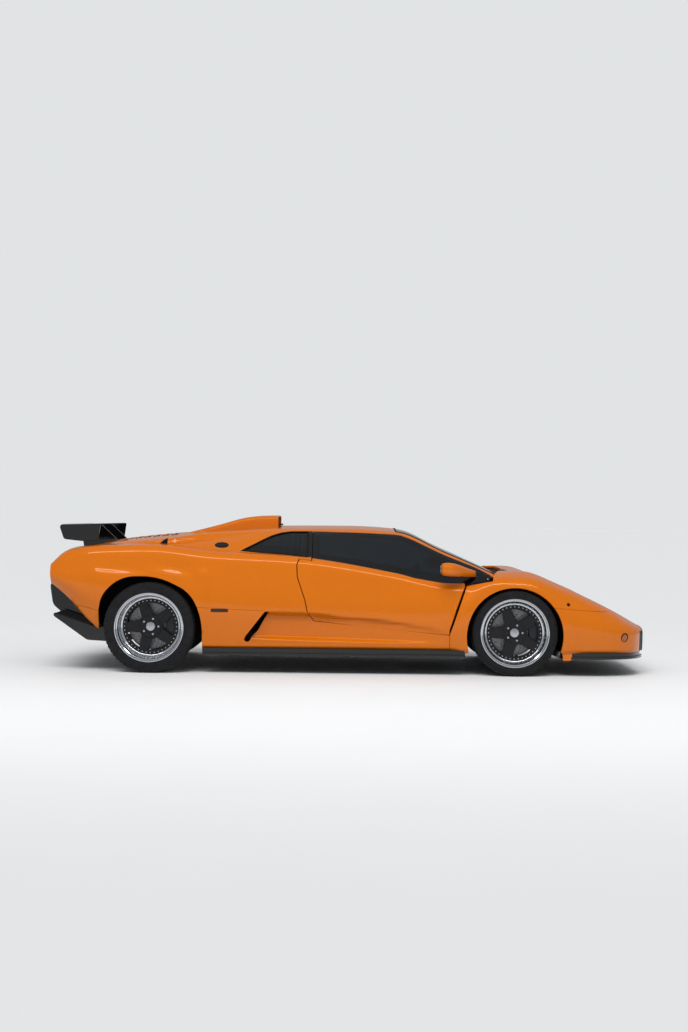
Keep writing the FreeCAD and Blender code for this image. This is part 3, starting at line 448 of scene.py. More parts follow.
def shell(skin, ring, holes=(), depth=14.0, step=26.0, lift=0.0, roll=1.6, across=False):
    """A closed panel of the skin inside ring, a polygon of (x, s), with its edges rolled inwards.
    across joins it to its mirror image on the centre plane."""
    loops = [ring, *holes]
    if skin.turn < 0:
        loops = [dense([*loop, loop[0]], EDGE_STEP) for loop in loops]
    rings = [clean_ring(loops[0])] + [clean_ring(loop)[::-1] for loop in loops[1:]]
    points, faces = filled(rings, step)
    place, normal = skin.both(points[:, 0], points[:, 1])
    place = place + normal * lift
    verts, normals, walls = [place], [normal], []
    base, start = len(points), 0
    back = place - normal * depth
    for loop in rings:
        n = len(loop)
        index = np.arange(start, start + n)
        p, nn = place[index], normal[index]
        along = np.roll(p, -1, axis=0) - np.roll(p, 1, axis=0)
        outwards = skin.turn * np.cross(along, nn)
        outwards /= np.maximum(np.linalg.norm(outwards, axis=1), 1e-9)[:, None]
        centre = (loop[:, 1] > skin.s[-1] - 0.5) & across
        outwards[centre] = 0
        verts += [p + outwards * roll - nn * roll, p + outwards * roll - nn * depth]
        turned_out = outwards + nn * 0.05
        turned_out /= np.linalg.norm(turned_out, axis=1)[:, None]
        normals += [turned_out, turned_out]
        for i in range(n):
            j = (i + 1) % n
            if not (centre[i] and centre[j]):
                walls.append((start + i, base + i, base + j, start + j))
                walls.append((base + i, base + n + i, base + n + j, base + j))
        back[index] = verts[-1]
        base += 2 * n
        start += n
    verts, normals = np.vstack(verts + [back]), np.vstack(normals + [-normal])
    inner = [tuple(base + i for i in reversed(f)) for f in faces]
    faces = faces + walls + inner
    if skin.turn < 0:
        faces = [tuple(reversed(f)) for f in faces]
    if across:
        on_plane = np.abs(verts[:, 1]) < 0.6
        verts[on_plane, 1] = 0
        normals[on_plane, 1] = 0
        own = np.arange(len(verts))
        twin = np.where(on_plane, own, own + len(verts))
        faces = faces + [tuple(int(twin[i]) for i in reversed(f)) for f in faces]
        verts, normals = (np.vstack([part, part * [1, -1, 1]]) for part in (verts, normals))
    lengths = np.linalg.norm(normals, axis=1)
    normals[lengths < 1e-6] = (0, 0, 1)
    return verts, faces, normals


def pair(name, parts, material, carrier="root", replaced=(), once=(), **how):
    """A piece and its mirror image. SIDE in a name stands for left and right.
    Both replace the nodes of replaced, and the left one alone those of once."""
    both = []
    for side_name, side in SIDES.items():
        words = [text.replace("SIDE", side_name) for text in (name, carrier, *replaced)]
        stood_for = words[2:] + [*once] * (side == 1)
        both.append(piece(words[0], parts, material, words[1], side, replaced=stood_for, **how))
    return both


def panel(name, skin, ring, material, carrier="root", replaced=(), **how):
    """A panel across the centre plane, from its left half."""
    verts, faces, normals = shell(skin, ring, across=True, **how)
    piece(name, [(verts, faces)], material, carrier, normals=normals, replaced=replaced)


def panels(name, skin, ring, material, carrier="root", replaced=(), once=(), **how):
    """A panel on the left and its mirror image."""
    verts, faces, normals = shell(skin, ring, **how)
    pair(name, [(verts, faces)], material, carrier, replaced, once, normals=normals)


def rounded_ring(line, points, trim, count=3):
    """A closed ring through points with rounded corners, read by a skin's side or plan."""
    return fillet(line([*points, points[0]])[:-1], trim, True, count)


# Solids of revolution, bars, pipes and slabs


def unit(v):
    """A direction with length 1."""
    v = np.asarray(v, float)
    return v / np.linalg.norm(v)


def turned(profile, centre, axis, segments, wave=None):
    """A closed profile of (radius, place along the axis), turned about the axis; wave alters its radii."""
    axis = unit(axis)
    u = unit(np.cross(axis, (0, 0, 1) if abs(axis[2]) < 0.9 else (1, 0, 0)))
    v = np.cross(axis, u)
    r, w = np.array(profile, float).T
    rings = []
    for i in range(segments):
        angle = math.tau * i / segments
        radius = wave(i, r, w) if wave else r
        spread = np.outer(radius, u * math.cos(angle) + v * math.sin(angle))
        rings.append(np.array(centre) + np.outer(w, axis) + spread)
    return strung(rings, capped=False, closed=True)


def circle(count):
    """Angles in equal steps round a circle."""
    return np.linspace(0, math.tau, count, endpoint=False)


def strung(rings, capped=True, closed=False):
    """Rings with equal counts of points, joined one to the next, and the last to the first if closed."""
    n, count = len(rings[0]), len(rings)
    faces = []
    for i in range(count if closed else count - 1):
        here, there = i * n, (i + 1) % count * n
        faces += [(here + j, here + (j + 1) % n, there + (j + 1) % n, there + j) for j in range(n)]
    if capped:
        last = (count - 1) * n
        faces += [tuple(reversed(range(n))), tuple(range(last, last + n))]
    return np.vstack(rings), faces


def pipe(points, radius):
    """A round bar along points."""
    points = np.array(points, float)
    along = np.gradient(points, axis=0)
    rings, guide = [], unit(np.cross(along[0], (0.31, 0.17, 0.93)))
    for p, a in zip(points, along):
        a = unit(a)
        guide = unit(guide - a * guide.dot(a))
        other = np.cross(a, guide)
        rings.append([p + radius * (guide * math.cos(t) + other * math.sin(t))
                      for t in circle(8)])
    return strung(rings)


def slab(outline, origin, u, v, depth, holes=(), roll=1.5, step=60.0):
    """A flat plate with its front on the plane of u and v, and its edges chamfered."""
    verts, faces, _ = shell(Flat(origin, u, v), outline, holes, depth=depth, step=step, roll=roll)
    return verts, faces


def upright(outline, y, depth, **how):
    """A plate with an outline of (x, z), from y to the left by its depth."""
    return slab(outline, (0, y, 0), (1, 0, 0), (0, 0, 1), depth, **how)


def level(outline, z, depth, **how):
    """A plate with an outline of (x, y), from z down by its depth."""
    return slab(outline, (0, 0, z), (1, 0, 0), (0, 1, 0), depth, **how)


def crosswise(outline, x, depth, way=1, **how):
    """A plate with an outline of (y, z) at x, facing forward; way -1 turns it to face back."""
    return slab(outline, (x, 0, 0), (0, way, 0), (0, 0, 1), depth, **how)


def bolt(centre, axis, radius, height):
    """A bolt head with a chamfered crown."""
    profile = [(0.01, 0), (radius, 0), (radius, height * 0.7), (radius * 0.8, height), (0.01, height)]
    return turned(profile, centre, axis, 6)


def smooth_line(points, count=8):
    """A smooth line through points, with count steps from each to the next."""
    p = np.array(points, float)
    p = np.vstack([2 * p[0] - p[1], p, 2 * p[-1] - p[-2]])
    out = []
    for i in range(1, len(p) - 2):
        for t in np.linspace(0, 1, count, endpoint=False):
            out.append(0.5 * (2 * p[i] + (p[i + 1] - p[i - 1]) * t
                              + (2 * p[i - 1] - 5 * p[i] + 4 * p[i + 1] - p[i + 2]) * t * t
                              + (3 * p[i] - p[i - 1] - 3 * p[i + 1] + p[i + 2]) * t ** 3))
    return np.array(out + [p[-2]])


# Sizes taken from the frame, in whole millimetres


def measured(node):
    """Middle and width, from side to side, of a node in the frame."""
    low, high = np.array(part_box(node)) / MM
    return np.round((low + high) / 2), round(high[1] - low[1])


FRONT_WHEEL, FRONT_WIDTH = measured("front_left_tyre")
REAR_WHEEL, REAR_WIDTH = measured("rear_left_tyre")
ARCH_X, ARCH_Z, ARCH_R = FRONT_WHEEL[0], 292, 352

# Body skin, millimetres. Columns: x, sill y and z, waist y and z, shoulder y and z, deck y and z, crown z.
BODY_ROWS = [
    (-2165, 880, 640, 925, 700, 900, 775, 600, 800, 806),
    (-2060, 900, 560, 970, 660, 905, 872, 640, 888, 894),
    (-1825, 900, 325, 1012, 600, 940, 912, 660, 922, 924),
    (-1435, 930, 200, 1020, 560, 948, 922, 660, 936, 936),
    (-1000, 940, 183, 1008, 500, 930, 878, 660, 905, 910),
    (-355, 925, 183, 968, 470, 895, 848, 660, 848, 852),
    (300, 915, 183, 955, 450, 892, 756, 660, 742, 746),
    (820, 915, 183, 962, 440, 925, 660, 700, 700, 705),
    (1095, 925, 181, 972, 446, 942, 704, 750, 760, 742),
    (1275, 930, 180, 978, 446, 942, 702, 745, 763, 740),
    (1550, 925, 176, 962, 410, 905, 612, 750, 668, 658),
    (1790, 905, 174, 935, 370, 872, 508, 745, 556, 566),
    (1965, 860, 174, 885, 340, 822, 422, 700, 470, 486),
    (2105, 760, 174, 780, 320, 730, 362, 540, 398, 412),
    (2200, 560, 178, 575, 310, 545, 334, 420, 348, 352),
]
# Roof and engine cover skin. Columns: x, base y and z, roof edge y and z, crown z.
ROOF_ROWS = [
    (-2060, 820, 780, 600, 866, 884),
    (-1750, 870, 800, 640, 930, 958),
    (-1435, 850, 856, 690, 962, 1000),
    (-997, 829, 850, 630, 1000, 1040),
    (-533, 829, 825, 570, 1046, 1076),
    (0, 870, 772, 560, 1052, 1081),
    (378, 892, 710, 575, 1032, 1062),
    (676, 891, 665, 662, 905, 936),
    (1062, 882, 608, 806, 738, 766),
    (1330, 700, 540, 620, 620, 640),
]
# Roof scoop skin. Columns: x, half width, foot z, top z.
SCOOP_ROWS = [
    (-1222, 225, 985, 1014),
    (-1000, 262, 985, 1072),
    (-760, 290, 985, 1136),
    (-640, 312, 985, 1147),
    (-535, 318, 985, 1149),
]


def body_section(row):
    """Half section of the body from the inner edge of the sill, over waist and shoulder, to the crown."""
    sill_y, sill_z, waist_y, waist_z, edge_y, edge_z, deck_y, deck_z, crown_z = row
    corners = [(sill_y - 14, sill_z - 2), (sill_y, sill_z + 12), (waist_y, waist_z), (edge_y, edge_z)]
    corners += [(deck_y, deck_z), (0, crown_z)]
    steps = [(0, 0), (1, 4), (10, 10), (8, 10), (6, 8), (10, 6)]
    return rounded_section(corners, [0, 12, 110, 62, 110, 260], steps)


def roof_section(row):
    """Half section of the roof from its foot, over the roof edge, to the crown."""
    base_y, base_z, edge_y, edge_z, crown_z = row
    corners = [(base_y, base_z), (edge_y, edge_z), (0, crown_z)]
    return rounded_section(corners, [0, 80, 250], [(0, 0), (16, 12), (10, 6)])


def scoop_section(row):
    """Half section of the scoop: an upright flank and a nearly flat top."""
    width, low, top = row
    corners = [(width + 10, low), (width, top - 4), (0, top)]
    return rounded_section(corners, [0, 26, 120], [(0, 0), (8, 8), (12, 4)])


def body_bulge(p):
    """Flare round the front wheel, recess of sill and lower door, and rolled lip of the rear arch."""
    x, y, z = p.T
    away = np.hypot(x - ARCH_X, z - ARCH_Z)
    angle = np.degrees(np.arctan2(z - ARCH_Z, x - ARCH_X))
    weight = np.interp(angle, [20, 60, 90, 115, 150], [0.3, 0.2, 0.15, 0.5, 1.0])
    weight = np.where(angle < -90, 1.0, weight)
    flare = 24 * weight * soft_step((498 - away) / 105) * soft_step((y - 700) / 150)
    crease = np.interp(x, [-560, -292, 300, 734], [455, 447, 400, 330])
    deep = np.interp(x, [-560, -200, 760], [57, 50, 0])
    recess = deep * soft_step((crease - z) / 34) * soft_step((z - 238) / 13)
    slot_x = -560 - (455 - z) * 0.804
    recess = np.where(x > slot_x - 22, recess, 0)
    front, top, back = np.maximum(x + 1040, 0), np.maximum(z - 712, 0), np.maximum(-1822 - x, 0)
    from_arch = np.hypot(front + back, top)
    lip = 7 * soft_step((42 - from_arch) / 42) * (x < -990) * (x > -1880) * (z > 300)
    return flare - recess + lip


def roof_bulge(p):
    """Channel under the ridge behind the quarter window."""
    x, _, z = p.T
    ridge = np.interp(x, [-1406, -997, -670], [941, 993, 1026])
    low = np.interp(x, [-1406, -1000, -670], [912, 924, 960])
    v = (z - low) / np.maximum(ridge - low, 1)
    depth = np.interp(x, [-1470, -1390, -1250, -1000, -640], [0, 17, 25, 21, 0])
    shape = np.clip(v, 0, 1) ** 1.4 * soft_step((1.1 - v) / 0.3)
    ridge_height = np.interp(x, [-1600, -1430, -1200, -1000, -640], [0, 8, 16, 14, 0])
    return ridge_height * np.exp(-(((v - 1.15) / 0.2) ** 2)) - depth * shape * (v > 0)


body = Skin(BODY_ROWS, body_section, body_bulge)
roof = Skin(ROOF_ROWS, roof_section, roof_bulge)
scoop = Skin(SCOOP_ROWS, scoop_section)
CROWN, SCOOP_TOP = body.s[-1], scoop.s[-1]


def roof_foot(x):
    """Girth on the body skin where the roof skin comes down on it."""
    if x < roof.xs[0] or x > roof.xs[-1]:
        return CROWN
    fine = np.linspace(0, CROWN, 700)
    row, over = body.row(x), roof.row(x)
    y, z = np.interp(fine, body.s, row[:, 0]), np.interp(fine, body.s, row[:, 1])
    above_waist = fine > body.s[int(np.argmax(row[:, 0]))]
    covered = above_waist & (y < np.interp(z, over[:, 1], over[:, 0], left=0, right=0))
    return float(fine[np.argmax(covered)]) if covered.any() else float(CROWN)


def foot_z(x):
    """Height of the body skin where the roof skin comes down on it."""
    return float(np.interp(roof_foot(x), body.s, body.row(x)[:, 1]))


def shoulder(x, gap=0.0):
    """Girth on the body skin just outside the shoulder, under the side windows."""
    belt_z = float(np.interp(x, [-380, -355, 0, 300, 661, 820], [844, 841, 797, 746, 694, 652]))
    return body.s_at_z(x, belt_z - 9) + gap


def stations(x_from, x_to):
    """Places along x in even steps of about 22 mm."""
    return np.linspace(x_from, x_to, max(2, int(abs(x_to - x_from) / 22)))


def foot_line(x_from, x_to, tuck=22.0):
    """The body skin's line just inside the foot of the roof."""
    return [(x, min(roof_foot(x) + tuck, CROWN)) for x in stations(x_from, x_to)]


def roof_low(x_from, x_to):
    """The roof skin's line 26 mm below where it meets the body."""
    return [(x, max(roof.s_at_z(x, foot_z(x) - 26), 1.0)) for x in stations(x_from, x_to)]


def arch_side(start, end):
    """Part of the front wheel's arch, by degrees, on the body skin."""
    return body.side(arc(ARCH_X, ARCH_Z, ARCH_R, start, end))


def height(point):
    """How high a place (x, s) of the body skin is."""
    return spot(body, *point)[0][2]


# Fixed panels of the lower body: fenders, rear quarters, sills and the corners behind the rear wheels
HEADLAMP_HOLE = [(1665, 618), (1688, 752), (1840, 728), (1850, 610)]
fender = ([(744, 0)] + body.side([(744, 200), (744, 300), (864, 652), (1052, 684)])
          + body.plan([(1075, 800)]) + body.plan([(1120, 655)]) + body.plan([(1190, 646), (1952, 568)])
          + body.side([(1896, 474), (1503, 500)]) + arch_side(36, 197) + [(880, 0)])
panels("fender_SIDE", body, fender, ORANGE, holes=[rounded_ring(body.plan, HEADLAMP_HOLE, 20)])

REAR_ARCH = [(-1053, 150), (-1053, 399), (-1135, 584), (-1373, 701), (-1643, 697), (-1804, 544), (-1804, 300)]
rear_arch = dense(fillet(REAR_ARCH, 120, count=10), 12)
arch_line = [(x, body.s_at_z(x, z)) for x, z in rear_arch]
upper_arch = [p for p, (x, z) in zip(arch_line, rear_arch) if (z > 452 or x > -1400) and height(p) > 481]
lower_arch = [p for p in arch_line if p[0] > -1100 and height(p) < 476]
quarter = (body.side([(-252, 383), (-297, 448), (-316, 536), (-374, 703), (-379, 790)])
           + [(x, shoulder(x, 9)) for x in (-362, -330, -300, -271)] + foot_line(-271, -2050)
           + [(-2058, CROWN), (-2164, CROWN), (-2164, 0), (-1972, 0)]
           + body.side([(-1968, 482), (-1806, 452)]) + upper_arch[::-1]
           + body.side([(-1087, 480), (-297, 444)]))
panels("rear_quarter_SIDE", body, quarter, ORANGE)
sill = (body.side([(739, 290), (-246, 374), (-293, 440), (-1087, 476)]) + lower_arch[::-1]
        + [(-1053, 0), (739, 0)])
air_slot = [(-602, 452), (-566, 452), (-648, 300), (-722, 224), (-747, 232), (-745, 266)]
panels("sill_SIDE", body, sill, ORANGE, once=["side_sills"], step=20,
       holes=[rounded_ring(body.side, air_slot, 10)])
corner = body.side([(-1808, 448), (-1964, 477)]) + [(-1964, 0), (-1808, 0)]
panels("rear_corner_SIDE", body, corner, ORANGE)

# Nose: its skin, the dark strip round its flat front, and a heel at each rear end of the splitter
FACE_X = 2199
nose = (body.side([(1503, 496), (1894, 470)]) + body.plan([(1958, 566), (1968, 560), (2014, 0)])
        + [(FACE_X, CROWN)] + body.side([(FACE_X, 323), (2166, 323)]) + [(2166, 0), (1560, 0)]
        + arch_side(-18, 35.5))
panel("nose", body, nose, ORANGE)
surround = [(2169, 0)] + body.side([(2169, 319), (FACE_X, 319)]) + [(FACE_X, 0)]
panels("nose_surround_SIDE", body, surround, PLASTIC, step=14)
heel = fillet([(1562, 184), (1632, 184), (1629, 122), (1571, 118)], 6, True, 3)
pair("nose_heel_SIDE", [upright(heel, 898, 14, roll=1.6)], ORANGE)

# The flat front of the nose with its air mouth, and the tail frame round the grille


def skin_end(skin, x, inset):
    """The whole section of a skin at x, drawn in by inset, as pairs of y and z."""
    yz = skin.row(x)
    half = [(y, z) for y, z in yz if y > 1]
    ring = np.array(half + [(0.0, yz[-1, 1])] + [(-y, z) for y, z in reversed(half)])
    centre = ring.mean(axis=0)
    return [tuple(p - (p - centre) / np.hypot(*(p - centre)) * inset) for p in ring]


def rounded_box(y, z_low, z_high, trim):
    """A rounded rectangle across the centre plane, as pairs of y and z."""
    return fillet([(-y, z_low), (y, z_low), (y, z_high), (-y, z_high)], trim, True, 5)


air_mouth = rounded_box(430, 205, 288, 18)
piece("nose_face", [crosswise(skin_end(body, FACE_X, 1.5), 2202, 14, holes=[air_mouth], roll=3)], PLASTIC)
bars = [pipe([(2188, -440, z), (2190, 0, z), (2188, 440, z)], 4) for z in (222, 240, 258, 276)]
bars += [pipe([(2184, y, 206), (2184, y, 288)], 3) for y in range(-400, 401, 100)]
piece("nose_mouth_bars", bars, PLASTIC)
grille_opening = rounded_box(770, 655, 772, 22)
tail_frame = crosswise(skin_end(body, -2164, 1.5), -2165, 16, way=-1, holes=[grille_opening], roll=3)
piece("tail_frame", [tail_frame], ORANGE)

# Bonnet, from the centre plane out and back to it
bonnet = body.plan([(1240, 0), (1186, 636), (1954, 557), (2008, 0)])
panel("bonnet_skin", body, bonnet, ORANGE, "bonnet", ["bonnet"], depth=20)

# Doors: a skin with the sill's crease, a window frame and the glass in it
door = (body.side([(-243, 382), (-288, 448), (-307, 536), (-365, 703), (-370, 790)])
        + [(x, shoulder(x)) for x in (-354, -330, -300, -262)] + foot_line(-262, 842, 16)
        + body.side([(848, 655), (782, 478), (737, 330), (736, 298)]))
panels("door_SIDE_skin", body, door, ORANGE, "door_SIDE", ["door_SIDE_panel"], step=20, depth=26)
frame_ring = (roof.side([(-262, 818), (0, 781), (300, 730), (661, 678), (820, 636), (900, 622), (1010, 626)])
              + roof.plan([(1044, 798), (676, 663), (378, 578), (-262, 569)]))
glass = (roof.side([(-234, 834), (0, 801), (300, 751), (661, 699), (800, 662)])
         + roof.plan([(1000, 800), (1000, 796), (676, 680), (378, 594), (-234, 583)]))
panels("door_SIDE_window_frame", roof, frame_ring, BLACK, "door_SIDE", holes=[fillet(glass, 8, True, 3)],
       depth=16)
panels("door_SIDE_window", roof, glass, GLASS, "door_SIDE", ["door_SIDE_glass"], depth=5, lift=-2)

# Roof, pillars and buttresses in one panel, round the opening of the engine lid
roof_ring = (roof.plan([(346, 0), (346, 524), (640, 606), (1092, 766)])
             + roof.plan([(1062, 806), (676, 668), (378, 582), (-273, 574)]) + roof_low(-273, -2040)
             + roof.plan([(-2056, 300), (-2056, 0)])
             + roof.plan([(-1734, 0), (-1734, 566), (-1100, 506), (-524, 456), (-524, 0)]))
quarter_side = [(-300, foot_z(-300) + 5), (-300, 1028), (-430, 1026), (-500, 1016), (-570, 994), (-640, 960)]
quarter_side += [(x, foot_z(x) + rise) for x, rise in ((-782, 8), (-640, 5), (-460, 5))]
quarter_window = rounded_ring(roof.side, quarter_side, 30, 5)
panel("roof_skin", roof, roof_ring, ORANGE, depth=12, step=15, holes=[quarter_window])
panels("quarter_window_SIDE", roof, quarter_window, GLASS, replaced=["quarter_windows"], depth=5, lift=-3)
# Black trim on the pillar behind the door, and a dark patch laid on the skin at the rear end of the
# buttress's channel: the intake's mouth, with painted shade of the hollow under the ridge
pillar = roof.side([(-298, 846), (-298, 1032), (-268, 1032), (-268, 846)])
panels("pillar_trim_SIDE", roof, pillar, BLACK, depth=3, lift=2)
# A dark sheet lifted onto the skin with no opening behind it: the intake's mouth, and painted shade where the
# ridge overhangs.
dark_intake_and_painted_shade = rounded_ring(roof.side, [(-1440, 924), (-1335, 957), (-1345, 918)], 3)
panels("buttress_intake_SIDE", roof, dark_intake_and_painted_shade, INNER, depth=8, lift=4, step=8)
windscreen = roof.plan([(352, 0), (352, 518), (640, 600), (1092, 760), (1190, 600), (1215, 0)])
panel("windscreen_glass", roof, windscreen, GLASS, replaced=["windscreen"], depth=6, lift=-2)

# Engine lid: its skin with two rows of louvres, and a sloping slat under each
LOUVRES, FIRST_LOUVRE_X, LOUVRE_PITCH, LOUVRE_LENGTH = 6, -1296, 68, 38
LOUVRE_INNER_Y, LOUVRE_OUTER_Y = 26, 372
lid = roof.plan([(-532, 0), (-532, 448), (-1100, 498), (-1726, 558), (-1726, 0)])
slat = [(0, 0), (346, 0), (346, 52), (0, 52)]
louvres, slats = [], []
for x in [FIRST_LOUVRE_X - i * LOUVRE_PITCH for i in range(LOUVRES)]:
    end = x - LOUVRE_LENGTH
    corners = [(x, LOUVRE_OUTER_Y), (x, LOUVRE_INNER_Y), (end, LOUVRE_INNER_Y), (end, LOUVRE_OUTER_Y)]
    louvres.append(rounded_ring(roof.plan, corners, 8, 2))
    z = roof.row(x)[-1, 1] - 34
    for y in (LOUVRE_INNER_Y, -LOUVRE_OUTER_Y):
        slats.append(slab(slat, (x + 4, y, z), (0, 1, 0), unit((-0.9, 0, 0.43)), 3, roll=0.8))
panel("engine_lid_skin", roof, lid, ORANGE, "engine_lid", ["engine_lid"], holes=louvres, depth=16)
piece("engine_lid_slats", slats, PLASTIC, "engine_lid")

# Roof scoop on the lid: skin, tail plate, dark floor, duct, splitter blades and a seal along its lip
scoop_ring = [(-536, SCOOP_TOP), (-536, 0), (-1221, 0), (-1221, SCOOP_TOP)]
panel("scoop_skin", scoop, scoop_ring, ORANGE, "engine_lid", ["roof_scoop"], depth=9, step=20)
scoop_tail = crosswise([(-225, 985), (225, 985), (215, 1012), (-215, 1012)], -1222, 8, way=-1)
piece("scoop_tail", [scoop_tail], ORANGE, "engine_lid")
scoop_floor = roof.plan([(-540, 0), (-540, 292), (-1100, 228), (-1100, 0)])
panel("scoop_floor", roof, scoop_floor, PLASTIC, "engine_lid", depth=4, lift=2.5)
duct = [[(x, y, low), (x, y, top), (x, -y, top), (x, -y, low)]
        for x, y, low, top in ((-560, 306, 1000, 1136), (-1080, 240, 990, 1046))]
piece("scoop_duct", [strung(duct, capped=False)], INNER, "engine_lid", sharp=30)
blade = [(-556, 1074), (-556, 1132), (-760, 1122), (-760, 1070)]
piece("scoop_splitter_blades", [upright(blade, y, 4, roll=0.8) for y in (-104, 104)], PLASTIC, "engine_lid")
lip_line = smooth_line([(-524, y, 1078) for y in (-300, -150, 0, 150, 300)], 3)
piece("scoop_lip_seal", [pipe(lip_line, 7)], SEAL, "engine_lid")

# Window seals, and the oval fuel cap on the right flank with its ring of screws
pair("quarter_window_seal_SIDE", [pipe(on_skin(roof, quarter_window + quarter_window[:1]), 5)], SEAL)
screen_edge = roof.plan([(356, 0), (356, 518), (640, 600), (1092, 760)])
pair("windscreen_seal_SIDE", [pipe(on_skin(roof, screen_edge), 4.5)], SEAL)
CAP_LONG, CAP_LID, CAP_FLATNESS = 50, 36, 0.62
flank, outwards = spot(roof, -934, roof.s_at_z(-934, 925))
along = unit(np.cross((0, 0, 1), outwards))
up_flank = unit(np.cross(outwards, along))
cap = []
for radius, rise, thickness in ((CAP_LONG, 3, 11), (CAP_LID, 6, 5)):
    oval = [(radius * math.cos(t), CAP_FLATNESS * radius * math.sin(t)) for t in circle(48)]
    cap.append(slab(oval, flank + outwards * rise, along, up_flank, thickness, roll=2))
for t in circle(8):
    place = flank + outwards * 3 + along * 43 * math.cos(t) + up_flank * 27 * math.sin(t)
    cap.append(bolt(place, outwards, 2.6, 3))
piece("fuel_cap", cap, BLACK, side=-1)

# Sill under each door: the step behind the skin's upper edge, and the dark box that closes it
step_edge = on_skin(body, body.side([(-236, 370), (250, 328), (732, 287)]), -8)
step_back = [(x, 846, z - 6) for x, _, z in step_edge]
pair("sill_step_SIDE", [strung([step_edge, step_back], capped=False)], SEAL)
box = [(690, 192), (846, 192), (846, 300), (690, 345)]
pair("sill_box_SIDE", [crosswise(box, 735, 1775, roll=2, step=400)], INNER)

# Lamps and markers: corner lamp, side marker and the small round one, headlamp under its cover
place, facing = spot(body, 2024, body.s_at_z(2024, 287))
bowl = [(0.01, -9), (31, -9), (32, 2), (29, 3), (25, -3), (0.01, -7)]
pair("corner_lamp_bowl_SIDE", [turned(bowl, place, facing, 40)], PLASTIC)
lens = [(0.01, -6.5), (24, -3), (24, -1), (13, 2), (0.01, 3)]
pair("corner_lamp_lens_SIDE", [turned(lens, place, facing, 40)], LENS)
marker = rounded_ring(body.side, [(-988, 447), (-866, 447), (-866, 468), (-988, 468)], 5)
panels("side_marker_SIDE", body, marker, BLACK, depth=6, lift=2.5, step=12)
place, facing = spot(body, 1600, body.s_at_z(1600, 525))
button = [(0.01, -6), (13, -6), (13, 1), (9, 4), (0.01, 5)]
pair("nose_marker_SIDE", [turned(button, place, facing, 32)], SEAL)
cover = rounded_ring(body.plan, [(1668, 622), (1690, 747), (1837, 724), (1846, 614)], 18, 4)
panels("headlamp_cover_SIDE", body, cover, LENS, replaced=["headlamps"], depth=4, lift=-1)
LAMP_DEPTH = 78
bowl_floor = on_skin(body, cover, 0) - np.array([0, 0, LAMP_DEPTH])
pair("headlamp_bowl_SIDE", [strung([on_skin(body, cover, -4), bowl_floor])], PLASTIC)
reflectors, bulbs = [], []
lamp_axis = (0.86, 0.05, 0.5)
bulb = [(0.01, -24), (9, -24), (9, -4), (5, 3), (0.01, 5)]
for x, y, r in ((1722, 684, 44), (1798, 672, 38)):
    centre = spot(body, x, body.s_at_y(x, y))[0] - np.array([20, 0, 46])
    dish = [(0.01, -26), (r * 0.5, -20), (r * 0.85, 0), (r, 16), (r + 3, 16), (r + 3, -30), (0.01, -32)]
    reflectors.append(turned(dish, centre, lamp_axis, 40))
    bulbs.append(turned(bulb, centre, lamp_axis, 20))
pair("headlamp_reflectors_SIDE", reflectors, LIP)
pair("headlamp_bulbs_SIDE", bulbs, LENS)

# Door mirrors: rings of x, y, z, half width and half height from the glass to the foot
MIRROR_RINGS = [(664, 1008, 775, 44, 40), (700, 1004, 774, 62, 49), (745, 996, 772, 68, 50),
                (795, 972, 766, 60, 44), (850, 920, 754, 42, 34), (905, 868, 742, 26, 26),
                (938, 828, 736, 20, 24)]


def swollen(value):
    """A sine or cosine pushed out, so that a circle becomes rather square."""
    return math.copysign(abs(value) ** 0.7, value)


squarish = [(swollen(math.cos(t)), swollen(math.sin(t))) for t in circle(28)]
rings = [[(x, y + a * wide, z + b * high) for a, b in squarish] for x, y, z, wide, high in MIRROR_RINGS]
pair("door_SIDE_mirror_shell", [strung(rings)], ORANGE, "door_SIDE", ["door_SIDE_mirror"], levels=1)
GLASS_SHARE = 0.74
_, y, z, wide, high = MIRROR_RINGS[0]
glass_ring = [(-y - a * wide * GLASS_SHARE, z + b * high * GLASS_SHARE) for a, b in squarish]
pair("door_SIDE_mirror_glass", [crosswise(glass_ring, 663, 3, way=-1, roll=1)], LIP, "door_SIDE")

# Splitter and side skirts: a thin blade with a band above it
SPLITTER_TOP, SPLITTER_BAND_TOP, SKIRT_TOP, SKIRT_BAND_TOP = 146, 178, 152, 186
splitter = fillet([(1502, 0), (1562, 905), (1790, 928), (1965, 880), (2105, 776), (2200, 588), (2211, 0)], 90)
whole = splitter + [(x, -y) for x, y in reversed(splitter) if y > 1]
blade = level(whole, SPLITTER_TOP, 18, roll=3, step=160)
piece("splitter_blade", [blade], BLACK, replaced=["front_splitter"])
band = [(x - 12 * (x > 1600), y * 0.985) for x, y in whole]
piece("splitter_band", [level(band, SPLITTER_BAND_TOP, 34, roll=2, step=160)], BLACK)
skirt = fillet([(-1050, 870), (-1050, 958), (850, 941), (858, 870)], 12)
band = [(x, y - 10 * (y > 900)) for x, y in skirt]
pair("side_skirt_SIDE", [level(skirt, SKIRT_TOP, 19, roll=3, step=160),
                         level(band, SKIRT_BAND_TOP, 38, roll=2, step=160)], BLACK, once=["side_skirts"])

